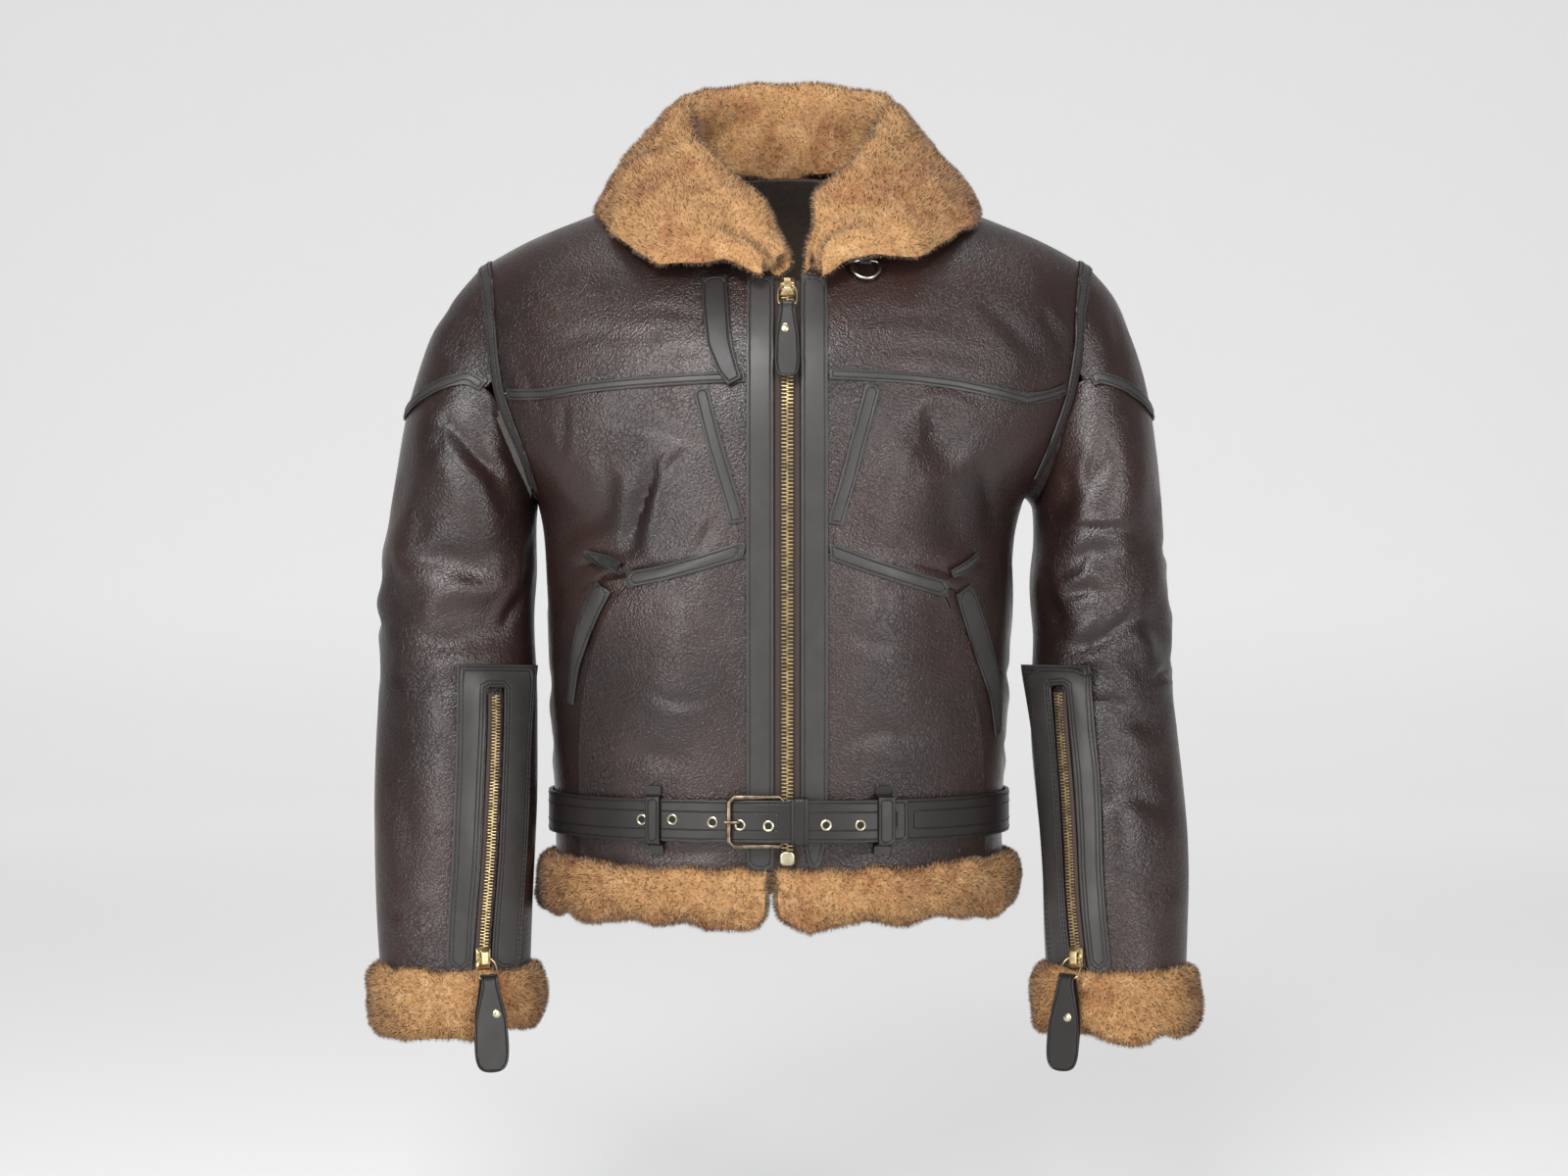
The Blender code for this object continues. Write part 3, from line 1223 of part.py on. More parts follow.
def build_collar_trim(skin):
    """The strap that hangs from under the collar, and the ring on the other side."""
    seen = ((-0.0560, -0.0420), (-0.0550, -0.0650), (-0.0520, -0.0950), (-0.0450, -0.1150), (-0.0390, -0.1260))
    spots = [front_spot(x, z) for x, z in seen]
    points = np.array([torso(*spot) for spot in spots])
    normals = np.array([torso_normal(*spot) for spot in spots])
    lay_strip(skin, "collar_strap", points, normals, (0.0100, 0.0105, 0.0100, 0.0085, 0.0060), "smooth",
              lift=0.0030, thick=0.0024)
    spot = front_spot(0.0640, -0.0330)
    out, middle = torso_normal(*spot), torso(*spot)
    across = unit(np.cross(out, np.array((0.0, 0.0, 1.0))))
    high = unit(np.cross(across, out))
    high = high if high[2] > 0 else -high
    seat = middle + out * 0.0044
    ring = [(-0.0115, 0.004), (-0.0115, -0.003), (-0.0085, -0.0085), (-0.0035, -0.0120), (0.0035, -0.0120),
            (0.0085, -0.0085), (0.0115, -0.003), (0.0115, 0.004), (0.006, 0.0062), (-0.006, 0.0062)]
    wire("d_ring", [seat + across * x + high * z for x, z in ring], 0.0016, "nickel")
    hook = ((0.0150, -0.0026), (0.0062, -0.0026), (0.0036, 0.0), (0.0062, 0.0026), (0.0150, 0.0026))
    lower, upper = [], []
    for rise, lean in hook:
        from_bar = np.array((rise - 0.0062, lean))
        step = unit(from_bar) if rise < 0.010 else np.array((0.0, np.sign(lean)))
        base = seat + high * rise + out * lean
        far = base + (high * step[0] + out * step[1]) * 0.0012
        lower.append([base - across * 0.0045, base + across * 0.0045])
        upper.append([far - across * 0.0045, far + across * 0.0045])
    sheet_solid("ring_loop", np.array(upper), np.array(lower), "smooth")


def main():
    clear_scene()
    skin = Skin()
    seams = build_torso(skin)
    build_sleeves(skin, seams)
    skin.close()
    for name in skin.grids:
        skin.solid(name, "hide", tip_cut=0.30 if name.startswith("sleeve_cap") else 0.0)
    build_tapes(skin, seams)
    build_pockets(skin, seams)
    build_front_zip()
    build_cuffs(skin, seams)
    build_collar(skin)
    build_hem(seams)
    build_belt(skin)
    build_collar_trim(skin)
    turn, level = front_spot(0.0018, -0.0500)
    build_pull("front", torso(turn, level) + torso_normal(turn, level) * 0.0012, torso_normal(turn, level), FRONT_PULL)


main()
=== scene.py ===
"""The looks of a sheepskin flying jacket: pebbled leather, smooth seam tapes with their stitching, a wool
collar, cuffs and hem, brass zips, a belt with its buckle and eyelets, and the leather pulls.

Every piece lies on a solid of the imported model, in metres: +Z up, +X the wearer's left, -Y out of the chest.
Creases are placed by where the photograph shows them, in pixels of its 1600 x 1200 frame, and their widths
and depths are in millimetres.
"""

import math
from typing import NamedTuple

import bmesh
import bpy
import numpy as np
from bpy.props import FloatProperty, FloatVectorProperty, IntProperty, PointerProperty
from mathutils import Matrix, Vector, noise
from mathutils.bvhtree import BVHTree
from mathutils.kdtree import KDTree


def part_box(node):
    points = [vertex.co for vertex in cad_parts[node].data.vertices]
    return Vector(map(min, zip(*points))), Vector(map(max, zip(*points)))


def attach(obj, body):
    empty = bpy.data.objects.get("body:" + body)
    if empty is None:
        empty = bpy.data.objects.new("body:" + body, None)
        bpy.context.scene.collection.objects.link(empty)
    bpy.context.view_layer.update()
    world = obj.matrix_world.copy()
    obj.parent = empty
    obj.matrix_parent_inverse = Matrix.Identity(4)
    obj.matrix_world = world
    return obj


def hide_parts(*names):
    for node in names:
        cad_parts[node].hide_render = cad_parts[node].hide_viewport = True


bl_info = {
    "name": "Sheepskin Flying Jacket",
    "version": (1, 0, 0),
    "blender": (4, 5, 0),
    "location": "3D View > Sidebar > Jacket",
    "description": "Dresses the jacket's solids in leather, wool, brass and thread",
    "category": "Object",
}

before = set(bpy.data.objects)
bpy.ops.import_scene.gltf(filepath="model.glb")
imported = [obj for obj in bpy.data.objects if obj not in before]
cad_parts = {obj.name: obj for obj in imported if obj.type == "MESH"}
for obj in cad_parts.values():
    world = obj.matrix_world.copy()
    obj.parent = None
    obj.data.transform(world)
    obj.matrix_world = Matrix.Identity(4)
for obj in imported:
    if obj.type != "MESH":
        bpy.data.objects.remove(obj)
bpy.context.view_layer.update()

# Left alone, the noise takes its start from the clock.
NOISE_SEED = 7
noise.seed_set(NOISE_SEED)

CAMERA_AWAY = 2.4
CAMERA_LEVEL = -0.287
METRES_PER_PIXEL = 0.00082
PHOTO_MIDDLE = (801.0, 600.0)
SENSOR_WIDTH = 36.0
PHOTO_WIDTH = 1600
SIDES = ("R", "L")
ROOT = "jacket"


class Crease(NamedTuple):
    """A fold of the leather: a trough with a ridge beside it, or a ridge alone where the depth is below 0."""

    part: str
    view: str
    across: tuple
    down: tuple
    width_mm: float
    depth_mm: float
    lip: float


CREASES = (
    Crease("body", "front", (668, 662, 652, 641), (466, 492, 528, 566), 5.5, 3.6, -0.55),
    Crease("body", "front", (640, 636, 630), (480, 505, 540), 9.0, -2.0, 0.0),
    Crease("body", "front", (701, 690, 675), (455, 468, 487), 3.0, 1.2, 0.5),
    Crease("body", "front", (728, 722, 712), (528, 545, 566), 3.2, 1.4, 0.5),
    Crease("body", "front", (598, 640, 680, 716), (424, 432, 440, 451), 2.6, 0.9, 0.5),
    Crease("body", "front", (579, 575, 572), (405, 430, 462), 3.4, 1.3, -0.5),
    Crease("body", "front", (611, 617, 620), (450, 490, 540), 7.0, 1.0, 0.5),
    Crease("body", "front", (600, 598, 606), (600, 640, 690), 8.0, 1.3, 0.4),
    Crease("body", "front", (690, 694, 690), (610, 680, 770), 26.0, -2.2, 0.0),
    Crease("body", "front", (630, 660, 700), (780, 770, 782), 7.0, 1.3, 0.5),
    Crease("body", "front", (650, 685, 722), (705, 716, 712), 4.0, 0.9, 0.5),
    Crease("body", "front", (700, 712, 730), (610, 640, 664), 3.6, 0.9, 0.5),
    Crease("body", "front", (632, 690, 740), (866, 872, 868), 6.0, 1.5, 0.5),
    Crease("body", "front", (560, 600, 655), (864, 872, 884), 5.0, 1.2, 0.5),
    Crease("body", "front", (640, 676, 715), (322, 318, 322), 3.4, 1.0, 0.5),
    Crease("body", "front", (560, 610, 665), (352, 340, 344), 4.2, 1.2, 0.5),
    Crease("body", "front", (530, 560, 600), (300, 312, 316), 5.0, 1.2, 0.5),
    Crease("body", "front", (655, 690, 716), (366, 358, 362), 3.0, 1.0, -0.5),
    Crease("body", "front", (520, 540, 556), (360, 392, 420), 4.5, 1.6, 0.5),
    Crease("body", "front", (937, 950, 958, 975), (432, 428, 446, 478), 15.0, 4.6, 0.0),
    Crease("body", "front", (930, 948, 975, 1004), (418, 408, 412, 430), 7.0, -2.2, 0.0),
    Crease("body", "front", (925, 915, 905, 908), (440, 480, 525, 560), 16.0, -3.0, 0.0),
    Crease("body", "front", (965, 968, 962), (480, 530, 570), 12.0, 2.0, 0.3),
    Crease("body", "front", (1000, 1012, 1020), (470, 510, 560), 8.0, 1.6, 0.5),
    Crease("body", "front", (870, 905, 945), (650, 662, 660), 6.0, 1.0, 0.5),
    Crease("body", "front", (900, 915, 905), (620, 680, 745), 26.0, -2.2, 0.0),
    Crease("body", "front", (860, 900, 950), (760, 748, 756), 7.0, 1.2, 0.5),
    Crease("body", "front", (850, 880, 920), (880, 870, 868), 6.0, 1.4, 0.5),
    Crease("body", "front", (940, 975, 1010), (878, 868, 862), 5.0, 1.2, 0.5),
    Crease("body", "front", (880, 930, 985), (330, 322, 330), 5.0, 1.1, 0.5),
    Crease("body", "front", (990, 1030, 1070), (300, 330, 372), 7.0, 1.7, 0.5),
    Crease("body", "front", (1060, 1076, 1090), (300, 336, 372), 5.0, 1.4, -0.5),
    Crease("body", "front", (900, 950, 1010), (362, 356, 368), 4.0, 1.0, 0.5),
    Crease("body", "back", (560, 660, 740), (352, 400, 470), 10.0, 2.6, 0.5),
    Crease("body", "back", (1040, 950, 870), (360, 412, 480), 11.0, 2.8, -0.5),
    Crease("body", "back", (620, 700, 760), (420, 440, 500), 6.0, 1.6, 0.5),
    Crease("body", "back", (700, 800, 905), (300, 322, 300), 8.0, 1.8, 0.5),
    Crease("body", "back", (560, 640, 700), (620, 602, 560), 9.0, 2.4, 0.5),
    Crease("body", "back", (1040, 960, 905), (640, 612, 560), 9.0, 2.4, -0.5),
    Crease("body", "back", (590, 690, 790, 900), (742, 760, 752, 770), 9.0, 2.6, 0.5),
    Crease("body", "back", (700, 820, 960, 1030), (700, 690, 706, 690), 8.0, 2.2, 0.5),
    Crease("body", "back", (620, 720, 830), (782, 790, 780), 6.0, 1.8, 0.5),
    Crease("body", "back", (770, 790, 780), (420, 520, 640), 28.0, -2.4, 0.0),
    Crease("body", "right", (760, 790, 830), (560, 600, 620), 9.0, 2.4, 0.5),
    Crease("body", "right", (740, 800, 860), (700, 712, 700), 9.0, 2.2, 0.5),
    Crease("body", "right", (750, 800, 850), (770, 780, 768), 6.0, 1.8, 0.5),
    Crease("body", "left", (760, 800, 850), (560, 610, 640), 9.0, 2.4, 0.5),
    Crease("body", "left", (740, 800, 860), (690, 704, 690), 9.0, 2.2, 0.5),
    Crease("body", "left", (750, 800, 850), (765, 782, 770), 6.0, 1.8, 0.5),
    Crease("sleeve_R", "front", (446, 455, 480, 512, 540), (436, 430, 452, 492, 520), 7.0, 3.6, 0.75),
    Crease("sleeve_R", "front", (446, 452, 480, 520), (452, 470, 510, 548), 13.0, -3.4, 0.0),
    Crease("sleeve_R", "front", (404, 440, 490, 530), (568, 570, 572, 566), 9.0, 3.6, 0.5),
    Crease("sleeve_R", "front", (440, 470, 510), (590, 586, 584), 8.0, 1.8, 0.3),
    Crease("sleeve_R", "front", (428, 450, 490, 520), (640, 610, 598, 596), 13.0, -3.0, 0.0),
    Crease("sleeve_R", "front", (420, 450, 485, 512), (650, 660, 652, 636), 9.0, 3.2, 0.5),
    Crease("sleeve_R", "front", (392, 402, 410), (560, 590, 640), 8.0, 1.6, 0.4),
    Crease("sleeve_R", "front", (545, 540, 520, 508), (540, 580, 625, 650), 4.0, 2.2, 0.7),
    Crease("sleeve_R", "front", (424, 430, 426), (520, 540, 560), 6.0, 1.2, 0.4),
    Crease("sleeve_R", "front", (392, 398, 414, 424), (700, 760, 830, 900), 12.0, 1.8, 0.4),
    Crease("sleeve_R", "front", (440, 452, 458), (700, 780, 900), 20.0, -2.2, 0.0),
    Crease("sleeve_R", "front", (400, 430, 470), (690, 700, 692), 6.0, 1.2, 0.5),
    Crease("sleeve_R", "front", (395, 420, 450), (930, 936, 928), 6.0, 1.3, 0.5),
    Crease("sleeve_R", "front", (510, 530, 545), (455, 480, 510), 4.0, 1.8, -0.6),
    Crease("sleeve_R", "front", (440, 462, 482), (300, 330, 372), 9.0, 1.6, 0.4),
    Crease("sleeve_L", "front", (1078, 1084, 1079, 1064), (430, 470, 520, 560), 9.0, 4.2, -0.5),
    Crease("sleeve_L", "front", (1082, 1106, 1140, 1158), (540, 537, 541, 546), 3.6, 2.6, -0.7),
    Crease("sleeve_L", "front", (1128, 1126, 1108, 1080), (450, 474, 492, 512), 9.0, 2.4, 0.5),
    Crease("sleeve_L", "front", (1078, 1104, 1130), (590, 572, 580), 6.0, 2.4, 0.6),
    Crease("sleeve_L", "front", (1082, 1110, 1135), (612, 600, 603), 5.0, 2.2, 0.6),
    Crease("sleeve_L", "front", (1078, 1112, 1150), (572, 561, 564), 5.0, 2.0, 0.6),
    Crease("sleeve_L", "front", (1090, 1130, 1160, 1186), (668, 650, 634, 636), 6.0, 3.4, 0.6),
    Crease("sleeve_L", "front", (1086, 1116, 1138), (650, 634, 618), 8.0, -2.4, 0.0),
    Crease("sleeve_L", "front", (1090, 1118, 1150, 1168), (676, 672, 688, 712), 8.0, -2.6, 0.0),
    Crease("sleeve_L", "front", (1104, 1130, 1152), (719, 718, 722), 5.0, 3.0, -0.6),
    Crease("sleeve_L", "front", (1130, 1160, 1190), (745, 736, 746), 8.0, 2.4, 0.5),
    Crease("sleeve_L", "front", (1060, 1072, 1086), (590, 612, 640), 6.0, 2.4, -0.5),
    Crease("sleeve_L", "front", (1176, 1186, 1192), (600, 650, 684), 6.0, 1.8, 0.5),
    Crease("sleeve_L", "front", (1180, 1190, 1200), (694, 688, 684), 4.0, 2.6, 0.4),
    Crease("sleeve_L", "front", (1130, 1150, 1148), (780, 860, 960), 18.0, -2.2, 0.0),
    Crease("sleeve_L", "front", (1120, 1160, 1196), (820, 812, 826), 8.0, 1.8, 0.5),
    Crease("sleeve_L", "front", (1146, 1180, 1204), (900, 908, 896), 8.0, 1.6, 0.5),
    Crease("sleeve_L", "front", (1128, 1140, 1134), (300, 340, 392), 8.0, 1.6, 0.4),
    Crease("sleeve_R", "right", (760, 800, 850), (590, 600, 584), 9.0, 3.0, 0.5),
    Crease("sleeve_R", "right", (770, 810, 846), (640, 632, 646), 7.0, 2.4, 0.5),
    Crease("sleeve_R", "right", (755, 790, 830), (520, 536, 528), 8.0, 2.2, 0.5),
    Crease("sleeve_R", "right", (770, 800, 840), (700, 694, 704), 7.0, 1.8, 0.5),
    Crease("sleeve_L", "left", (760, 800, 850), (560, 552, 566), 8.0, 3.0, 0.5),
    Crease("sleeve_L", "left", (765, 806, 846), (610, 622, 606), 8.0, 2.8, 0.5),
    Crease("sleeve_L", "left", (760, 800, 840), (684, 676, 688), 7.0, 2.6, 0.5),
    Crease("sleeve_L", "left", (765, 800, 836), (742, 752, 744), 8.0, 2.0, 0.5),
    Crease("sleeve_R", "back", (1090, 1130, 1180), (560, 580, 566), 9.0, 3.2, 0.5),
    Crease("sleeve_R", "back", (1080, 1120, 1180), (640, 622, 634), 9.0, 3.0, 0.5),
    Crease("sleeve_R", "back", (1080, 1130, 1170), (500, 520, 512), 8.0, 2.2, 0.5),
    Crease("sleeve_R", "back", (1070, 1120, 1180), (710, 704, 716), 8.0, 2.0, 0.5),
    Crease("sleeve_L", "back", (420, 470, 520), (560, 584, 570), 9.0, 3.2, 0.5),
    Crease("sleeve_L", "back", (410, 460, 520), (640, 626, 644), 9.0, 3.0, 0.5),
    Crease("sleeve_L", "back", (410, 460, 510), (700, 712, 704), 8.0, 2.4, 0.5),
    Crease("sleeve_L", "back", (430, 480, 520), (500, 512, 500), 8.0, 2.2, 0.5),
)


class Panel(NamedTuple):
    """A panel of pebbled leather: the part whose creases it takes and how finely it is divided."""

    part: str
    levels: int


PANELS = {
    "back": Panel("body", 2),
    "yoke_front_R": Panel("body", 3),
    "yoke_front_L": Panel("body", 3),
    "front_inset_R": Panel("body", 3),
    "front_inset_L": Panel("body", 3),
    "front_side_R": Panel("body", 3),
    "front_side_L": Panel("body", 3),
    "front_lower_R": Panel("body", 3),
    "front_lower_L": Panel("body", 3),
    "sleeve_cap_R": Panel("sleeve_R", 3),
    "sleeve_cap_L": Panel("sleeve_L", 3),
    "sleeve_R": Panel("sleeve_R", 3),
    "sleeve_L": Panel("sleeve_L", 3),
}


class Trim(NamedTuple):
    """A strip of smooth leather: its part, and how far in from its rim each row of stitches runs, in mm."""

    part: str
    rows_mm: tuple


TRIMS = {
    "tape_yoke": Trim("body", (2.2,)),
    "tape_dart": Trim("body", (2.4,)),
    "tape_waist": Trim("body", (2.4,)),
    "tape_armhole": Trim("body", (2.4,)),
    "placket": Trim("body", (2.6,)),
    "pocket_welt": Trim("body", (1.8,)),
    "pocket_facing": Trim("body", (2.2,)),
    "tape_sleeve": Trim("sleeve", (2.2,)),
    "cuff_facing": Trim("sleeve", (2.4, 5.2)),
}

BELT_ROWS_MM = (2.4, 9.4)
LOOP_ROWS_MM = (2.2,)
EYELET_PIXELS = ((655, 836), (686, 836), (727, 839), (755, 842), (784, 843), (843, 842), (878, 842))
RIVETS = {"tab_front": (801, 334), "tab_cuff_R": (507, 1034), "tab_cuff_L": (1089, 1038)}
STITCHED_TABS_MM = (2.0,)


class Cut(NamedTuple):
    """What a piece was cut to: width and length, the share of that rectangle that it fills, and its hold."""

    wide_mm: float
    long_mm: float
    share: float
    held: str
    on: str


# Meshes


def select_only(*objects):
    """Selects these objects alone and makes the first one active."""
    bpy.ops.object.select_all(action="DESELECT")
    for obj in objects:
        obj.select_set(True)
    bpy.context.view_layer.objects.active = objects[0]


def apply_modifier(obj, kind, **settings):
    """Adds a modifier with these settings and applies it."""
    select_only(obj)
    modifier = obj.modifiers.new(kind.lower(), kind)
    for name, value in settings.items():
        setattr(modifier, name, value)
    bpy.ops.object.modifier_apply(modifier=modifier.name)


def copy_of(node, name):
    """A free copy of a CAD node, its loose triangles merged and paired into quads."""
    copy = bpy.data.objects.new(name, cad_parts[node].data.copy())
    bpy.context.scene.collection.objects.link(copy)
    copy.data.materials.clear()
    select_only(copy)
    if copy.data.has_custom_normals:
        bpy.ops.mesh.customdata_custom_splitnormals_clear()
    bpy.ops.object.mode_set(mode="EDIT")
    bpy.ops.mesh.select_all(action="SELECT")
    bpy.ops.mesh.remove_doubles(threshold=2e-5)
    bpy.ops.mesh.tris_convert_to_quads(face_threshold=math.radians(60), shape_threshold=math.pi)
    bpy.ops.object.mode_set(mode="OBJECT")
    return copy


def crease_edges(obj, degrees=55.0, hold=1.0):
    """Keeps the edges that turn more than this as they are when the piece is subdivided."""
    select_only(obj)
    bpy.ops.object.mode_set(mode="EDIT")
    bpy.ops.mesh.select_mode(type="EDGE")
    bpy.ops.mesh.select_all(action="DESELECT")
    bpy.ops.mesh.edges_select_sharp(sharpness=math.radians(degrees))
    bpy.ops.transform.edge_crease(value=hold)
    bpy.ops.object.mode_set(mode="OBJECT")


def subdivide(obj, levels):
    """Rounds the piece into a fine mesh."""
    apply_modifier(obj, "SUBSURF", levels=levels, render_levels=levels)


def points_of(obj):
    """The piece's points as rows of x, y and z."""
    flat = np.empty(len(obj.data.vertices) * 3)
    obj.data.vertices.foreach_get("co", flat)
    return flat.reshape(-1, 3)


def normals_of(obj):
    """The outward direction at each of the piece's points."""
    flat = np.empty(len(obj.data.vertices) * 3)
    obj.data.vertices.foreach_get("normal", flat)
    return flat.reshape(-1, 3)


def set_points(obj, points):
    """Moves the piece's points to these rows."""
    obj.data.vertices.foreach_set("co", np.asarray(points, np.float64).ravel())
    obj.data.update()


def set_attribute(obj, name, values):
    """Stores one number for each point of the piece, for its material to read."""
    attribute = obj.data.attributes.new(name, "FLOAT", "POINT")
    attribute.data.foreach_set("value", np.asarray(values, np.float32))


def smooth(obj, degrees=40.0):
    """Shades the piece smooth, apart from edges that turn more than this."""
    select_only(obj)
    bpy.ops.object.shade_smooth_by_angle(angle=math.radians(degrees))


def surface_of(obj):
    """A tree that finds the nearest place on the piece."""
    loops = [list(face.vertices) for face in obj.data.polygons]
    return BVHTree.FromPolygons([vertex.co.copy() for vertex in obj.data.vertices], loops)


def unit_rows(rows):
    """The rows, each one long."""
    return rows / np.maximum(np.linalg.norm(rows, axis=1, keepdims=True), 1e-12)


def finish_piece(obj, material, body=ROOT, replaces=None):
    """Gives a piece its material and its body, and hides the CAD node that it stands for."""
    if material is not None and not obj.data.materials:
        obj.data.materials.append(material)
    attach(obj, body)
    if replaces:
        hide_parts(replaces)
    return obj


def scatter(name, pattern, places, material, body=ROOT):
    """One piece that holds a copy of the pattern at each place, a 4 x 4 matrix."""
    base = points_of(pattern)
    loops = [list(face.vertices) for face in pattern.data.polygons]
    points = []
    faces = []
    for k, place in enumerate(places):
        matrix = np.array(place)
        points.append(base @ matrix[:3, :3].T + matrix[:3, 3])
        faces += [[corner + k * len(base) for corner in loop] for loop in loops]
    mesh = bpy.data.meshes.new(name)
    mesh.from_pydata(np.concatenate(points).tolist(), [], faces)
    mesh.update()
    obj = bpy.data.objects.new(name, mesh)
    bpy.context.scene.collection.objects.link(obj)
    mesh.materials.append(material)
    smooth(obj)
    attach(obj, body)
    return obj


def place_at(point, along, out, scale=(1.0, 1.0, 1.0)):
    """A matrix whose X runs along and whose Z points out."""
    along, out = Vector(along), Vector(out).normalized()
    along = (along - out * along.dot(out)).normalized()
    turn = Matrix((along, out.cross(along), out)).transposed().to_4x4()
    return Matrix.Translation(Vector(point)) @ turn @ Matrix.Diagonal((*scale, 1.0))


def drop_pattern(obj):
    """Removes a pattern once its copies are made."""
    mesh = obj.data
    bpy.data.objects.remove(obj)
    bpy.data.meshes.remove(mesh)


# Places


def photo_place(points, view):
    """Where a camera like the photograph's shows each point, in its pixels, from this side of the jacket."""
    x, y, z = points.T
    across, deep = {"front": (x, y), "back": (-x, -y), "right": (-y, x), "left": (y, -x)}[view]
    scale = CAMERA_AWAY / (CAMERA_AWAY + deep) / METRES_PER_PIXEL
    return PHOTO_MIDDLE[0] + across * scale, PHOTO_MIDDLE[1] - (z - CAMERA_LEVEL) * scale


def sight_line(column, row):
    """The photograph's camera and the direction in which it sees this pixel."""
    eye = Vector((0.0, -CAMERA_AWAY, CAMERA_LEVEL))
    seen = Vector(
        (
            (column - PHOTO_MIDDLE[0]) * METRES_PER_PIXEL,
            0.0,
            CAMERA_LEVEL + (PHOTO_MIDDLE[1] - row) * METRES_PER_PIXEL,
        )
    )
    return eye, (seen - eye).normalized()


def sleeve_axis(side):
    """The sleeve's middle as heights and the x and y there."""
    points = np.concatenate(
        [points_of(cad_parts[f"{name}_{side}"]) for name in ("sleeve", "sleeve_cap")]
    )
    heights = np.linspace(points[:, 2].min(), points[:, 2].max(), 15)
    rows = []
    for low, high in zip(heights[:-1], heights[1:]):
        band = points[(points[:, 2] >= low) & (points[:, 2] <= high)]
        if len(band):
            middle = (band.min(0) + band.max(0)) / 2
            rows.append(((low + high) / 2, middle[0], middle[1]))
    return np.array(rows)


SLEEVE_AXES = {side: sleeve_axis(side) for side in SIDES}


def outward(points, part):
    """The level direction away from the middle of the body or sleeve at each point."""
    if part == "body":
        away = points * np.array((0.55, 1.0, 0.0))
    else:
        rows = SLEEVE_AXES[part[-1]]
        away = np.zeros_like(points)
        away[:, 0] = points[:, 0] - np.interp(points[:, 2], rows[:, 0], rows[:, 1])
        away[:, 1] = points[:, 1] - np.interp(points[:, 2], rows[:, 0], rows[:, 2])
    return unit_rows(away)


def ease(low, high, values):
    """A smooth step from 0 at low to 1 at high."""
    share = np.clip((values - low) / (high - low), 0.0, 1.0)
    return share * share * (3.0 - 2.0 * share)


def wobble(points, size, seed):
    """A smooth random vector for each point. Size is about how far apart it changes, in metres."""
    away = Vector((seed * 7.3, seed * -3.1, seed * 5.7))
    return np.array([noise.noise_vector(Vector(point) / size + away) for point in points])


def to_line(across, down, columns, rows):
    """Signed distance in pixels from each place to a line through the columns and rows, and the share along it."""
    best = np.full(len(across), 1e9)
    signed = np.zeros(len(across))
    share = np.zeros(len(across))
    ends = np.column_stack([columns, rows]).astype(float)
    lengths = np.linalg.norm(np.diff(ends, axis=0), axis=1)
    total = lengths.sum()
    done = 0.0
    for start, end, length in zip(ends[:-1], ends[1:], lengths):
        step = (end - start) / length
        off = np.column_stack([across, down]) - start
        run = np.clip(off @ step, 0.0, length)
        gap = off - run[:, None] * step
        size = np.linalg.norm(gap, axis=1)
        side = np.sign(step[0] * off[:, 1] - step[1] * off[:, 0])
        closer = size < best
        best[closer] = size[closer]
        signed[closer] = (size * side)[closer]
        share[closer] = ((done + run) / total)[closer]
        done += length
    return signed, share


VIEW_FROM = {"front": (0, -1, 0), "back": (0, 1, 0), "right": (-1, 0, 0), "left": (1, 0, 0)}


def armhole_fade(points, side):
    """0 where the sleeve meets the body, 1 from 35 mm down the sleeve."""
    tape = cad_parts[f"tape_armhole_{side}"]
    tree = KDTree(len(tape.data.vertices))
    for k, vertex in enumerate(tape.data.vertices):
        tree.insert(vertex.co, k)
    tree.balance()
    return ease(0.012, 0.038, np.array([tree.find(point)[2] for point in points]))


FOLD_STRENGTH = {"body": 1.25, "sleeve_R": 1.2, "sleeve_L": 1.2}


def fold(points, part):
    """How far the creases move each point of a part."""
    out = outward(points, part)
    shake = wobble(points, 0.035, 1.0)
    swell = wobble(points, 0.075, 2.0)
    ripple = wobble(points * np.array((1.0, 1.0, 0.6)), 0.014, 3.0)
    amount = 0.0007 * swell[:, 0] + 0.00035 * ripple[:, 0] * ease(-0.1, 0.5, swell[:, 1])
    pixel = METRES_PER_PIXEL * 950.0
    for crease in CREASES:
        if crease.part != part:
            continue
        across, down = photo_place(points, crease.view)
        across = across + shake[:, 0] * 5.0
        down = down + shake[:, 1] * 5.0
        gap, share = to_line(across, down, crease.across, crease.down)
        gap = gap * pixel
        width = crease.width_mm * (0.75 + 0.5 * share)
        taper = np.sin(np.pi * np.clip(share, 0.02, 0.98)) ** 0.7
        profile = np.exp(-((gap / width) ** 2))
        beside = np.exp(-(((np.abs(gap) - 1.9 * width) / (1.2 * width)) ** 2)) * (gap * crease.lip > 0)
        facing = ease(-0.05, 0.45, out @ np.array(VIEW_FROM[crease.view], float))
        uneven = 1.0 + 0.35 * swell[:, 2]
        depth = crease.depth_mm / 1000 * FOLD_STRENGTH[part]
        amount -= depth * taper * facing * uneven * (profile - abs(crease.lip) * beside)
    if part != "body":
        amount *= armhole_fade(points, part[-1])
    return out * amount[:, None]


# Rims and stitches


class Rim(NamedTuple):
    """Places along the rim of a piece's outer face and the direction from each into the face."""

    points: np.ndarray
    inward: np.ndarray
    along: np.ndarray


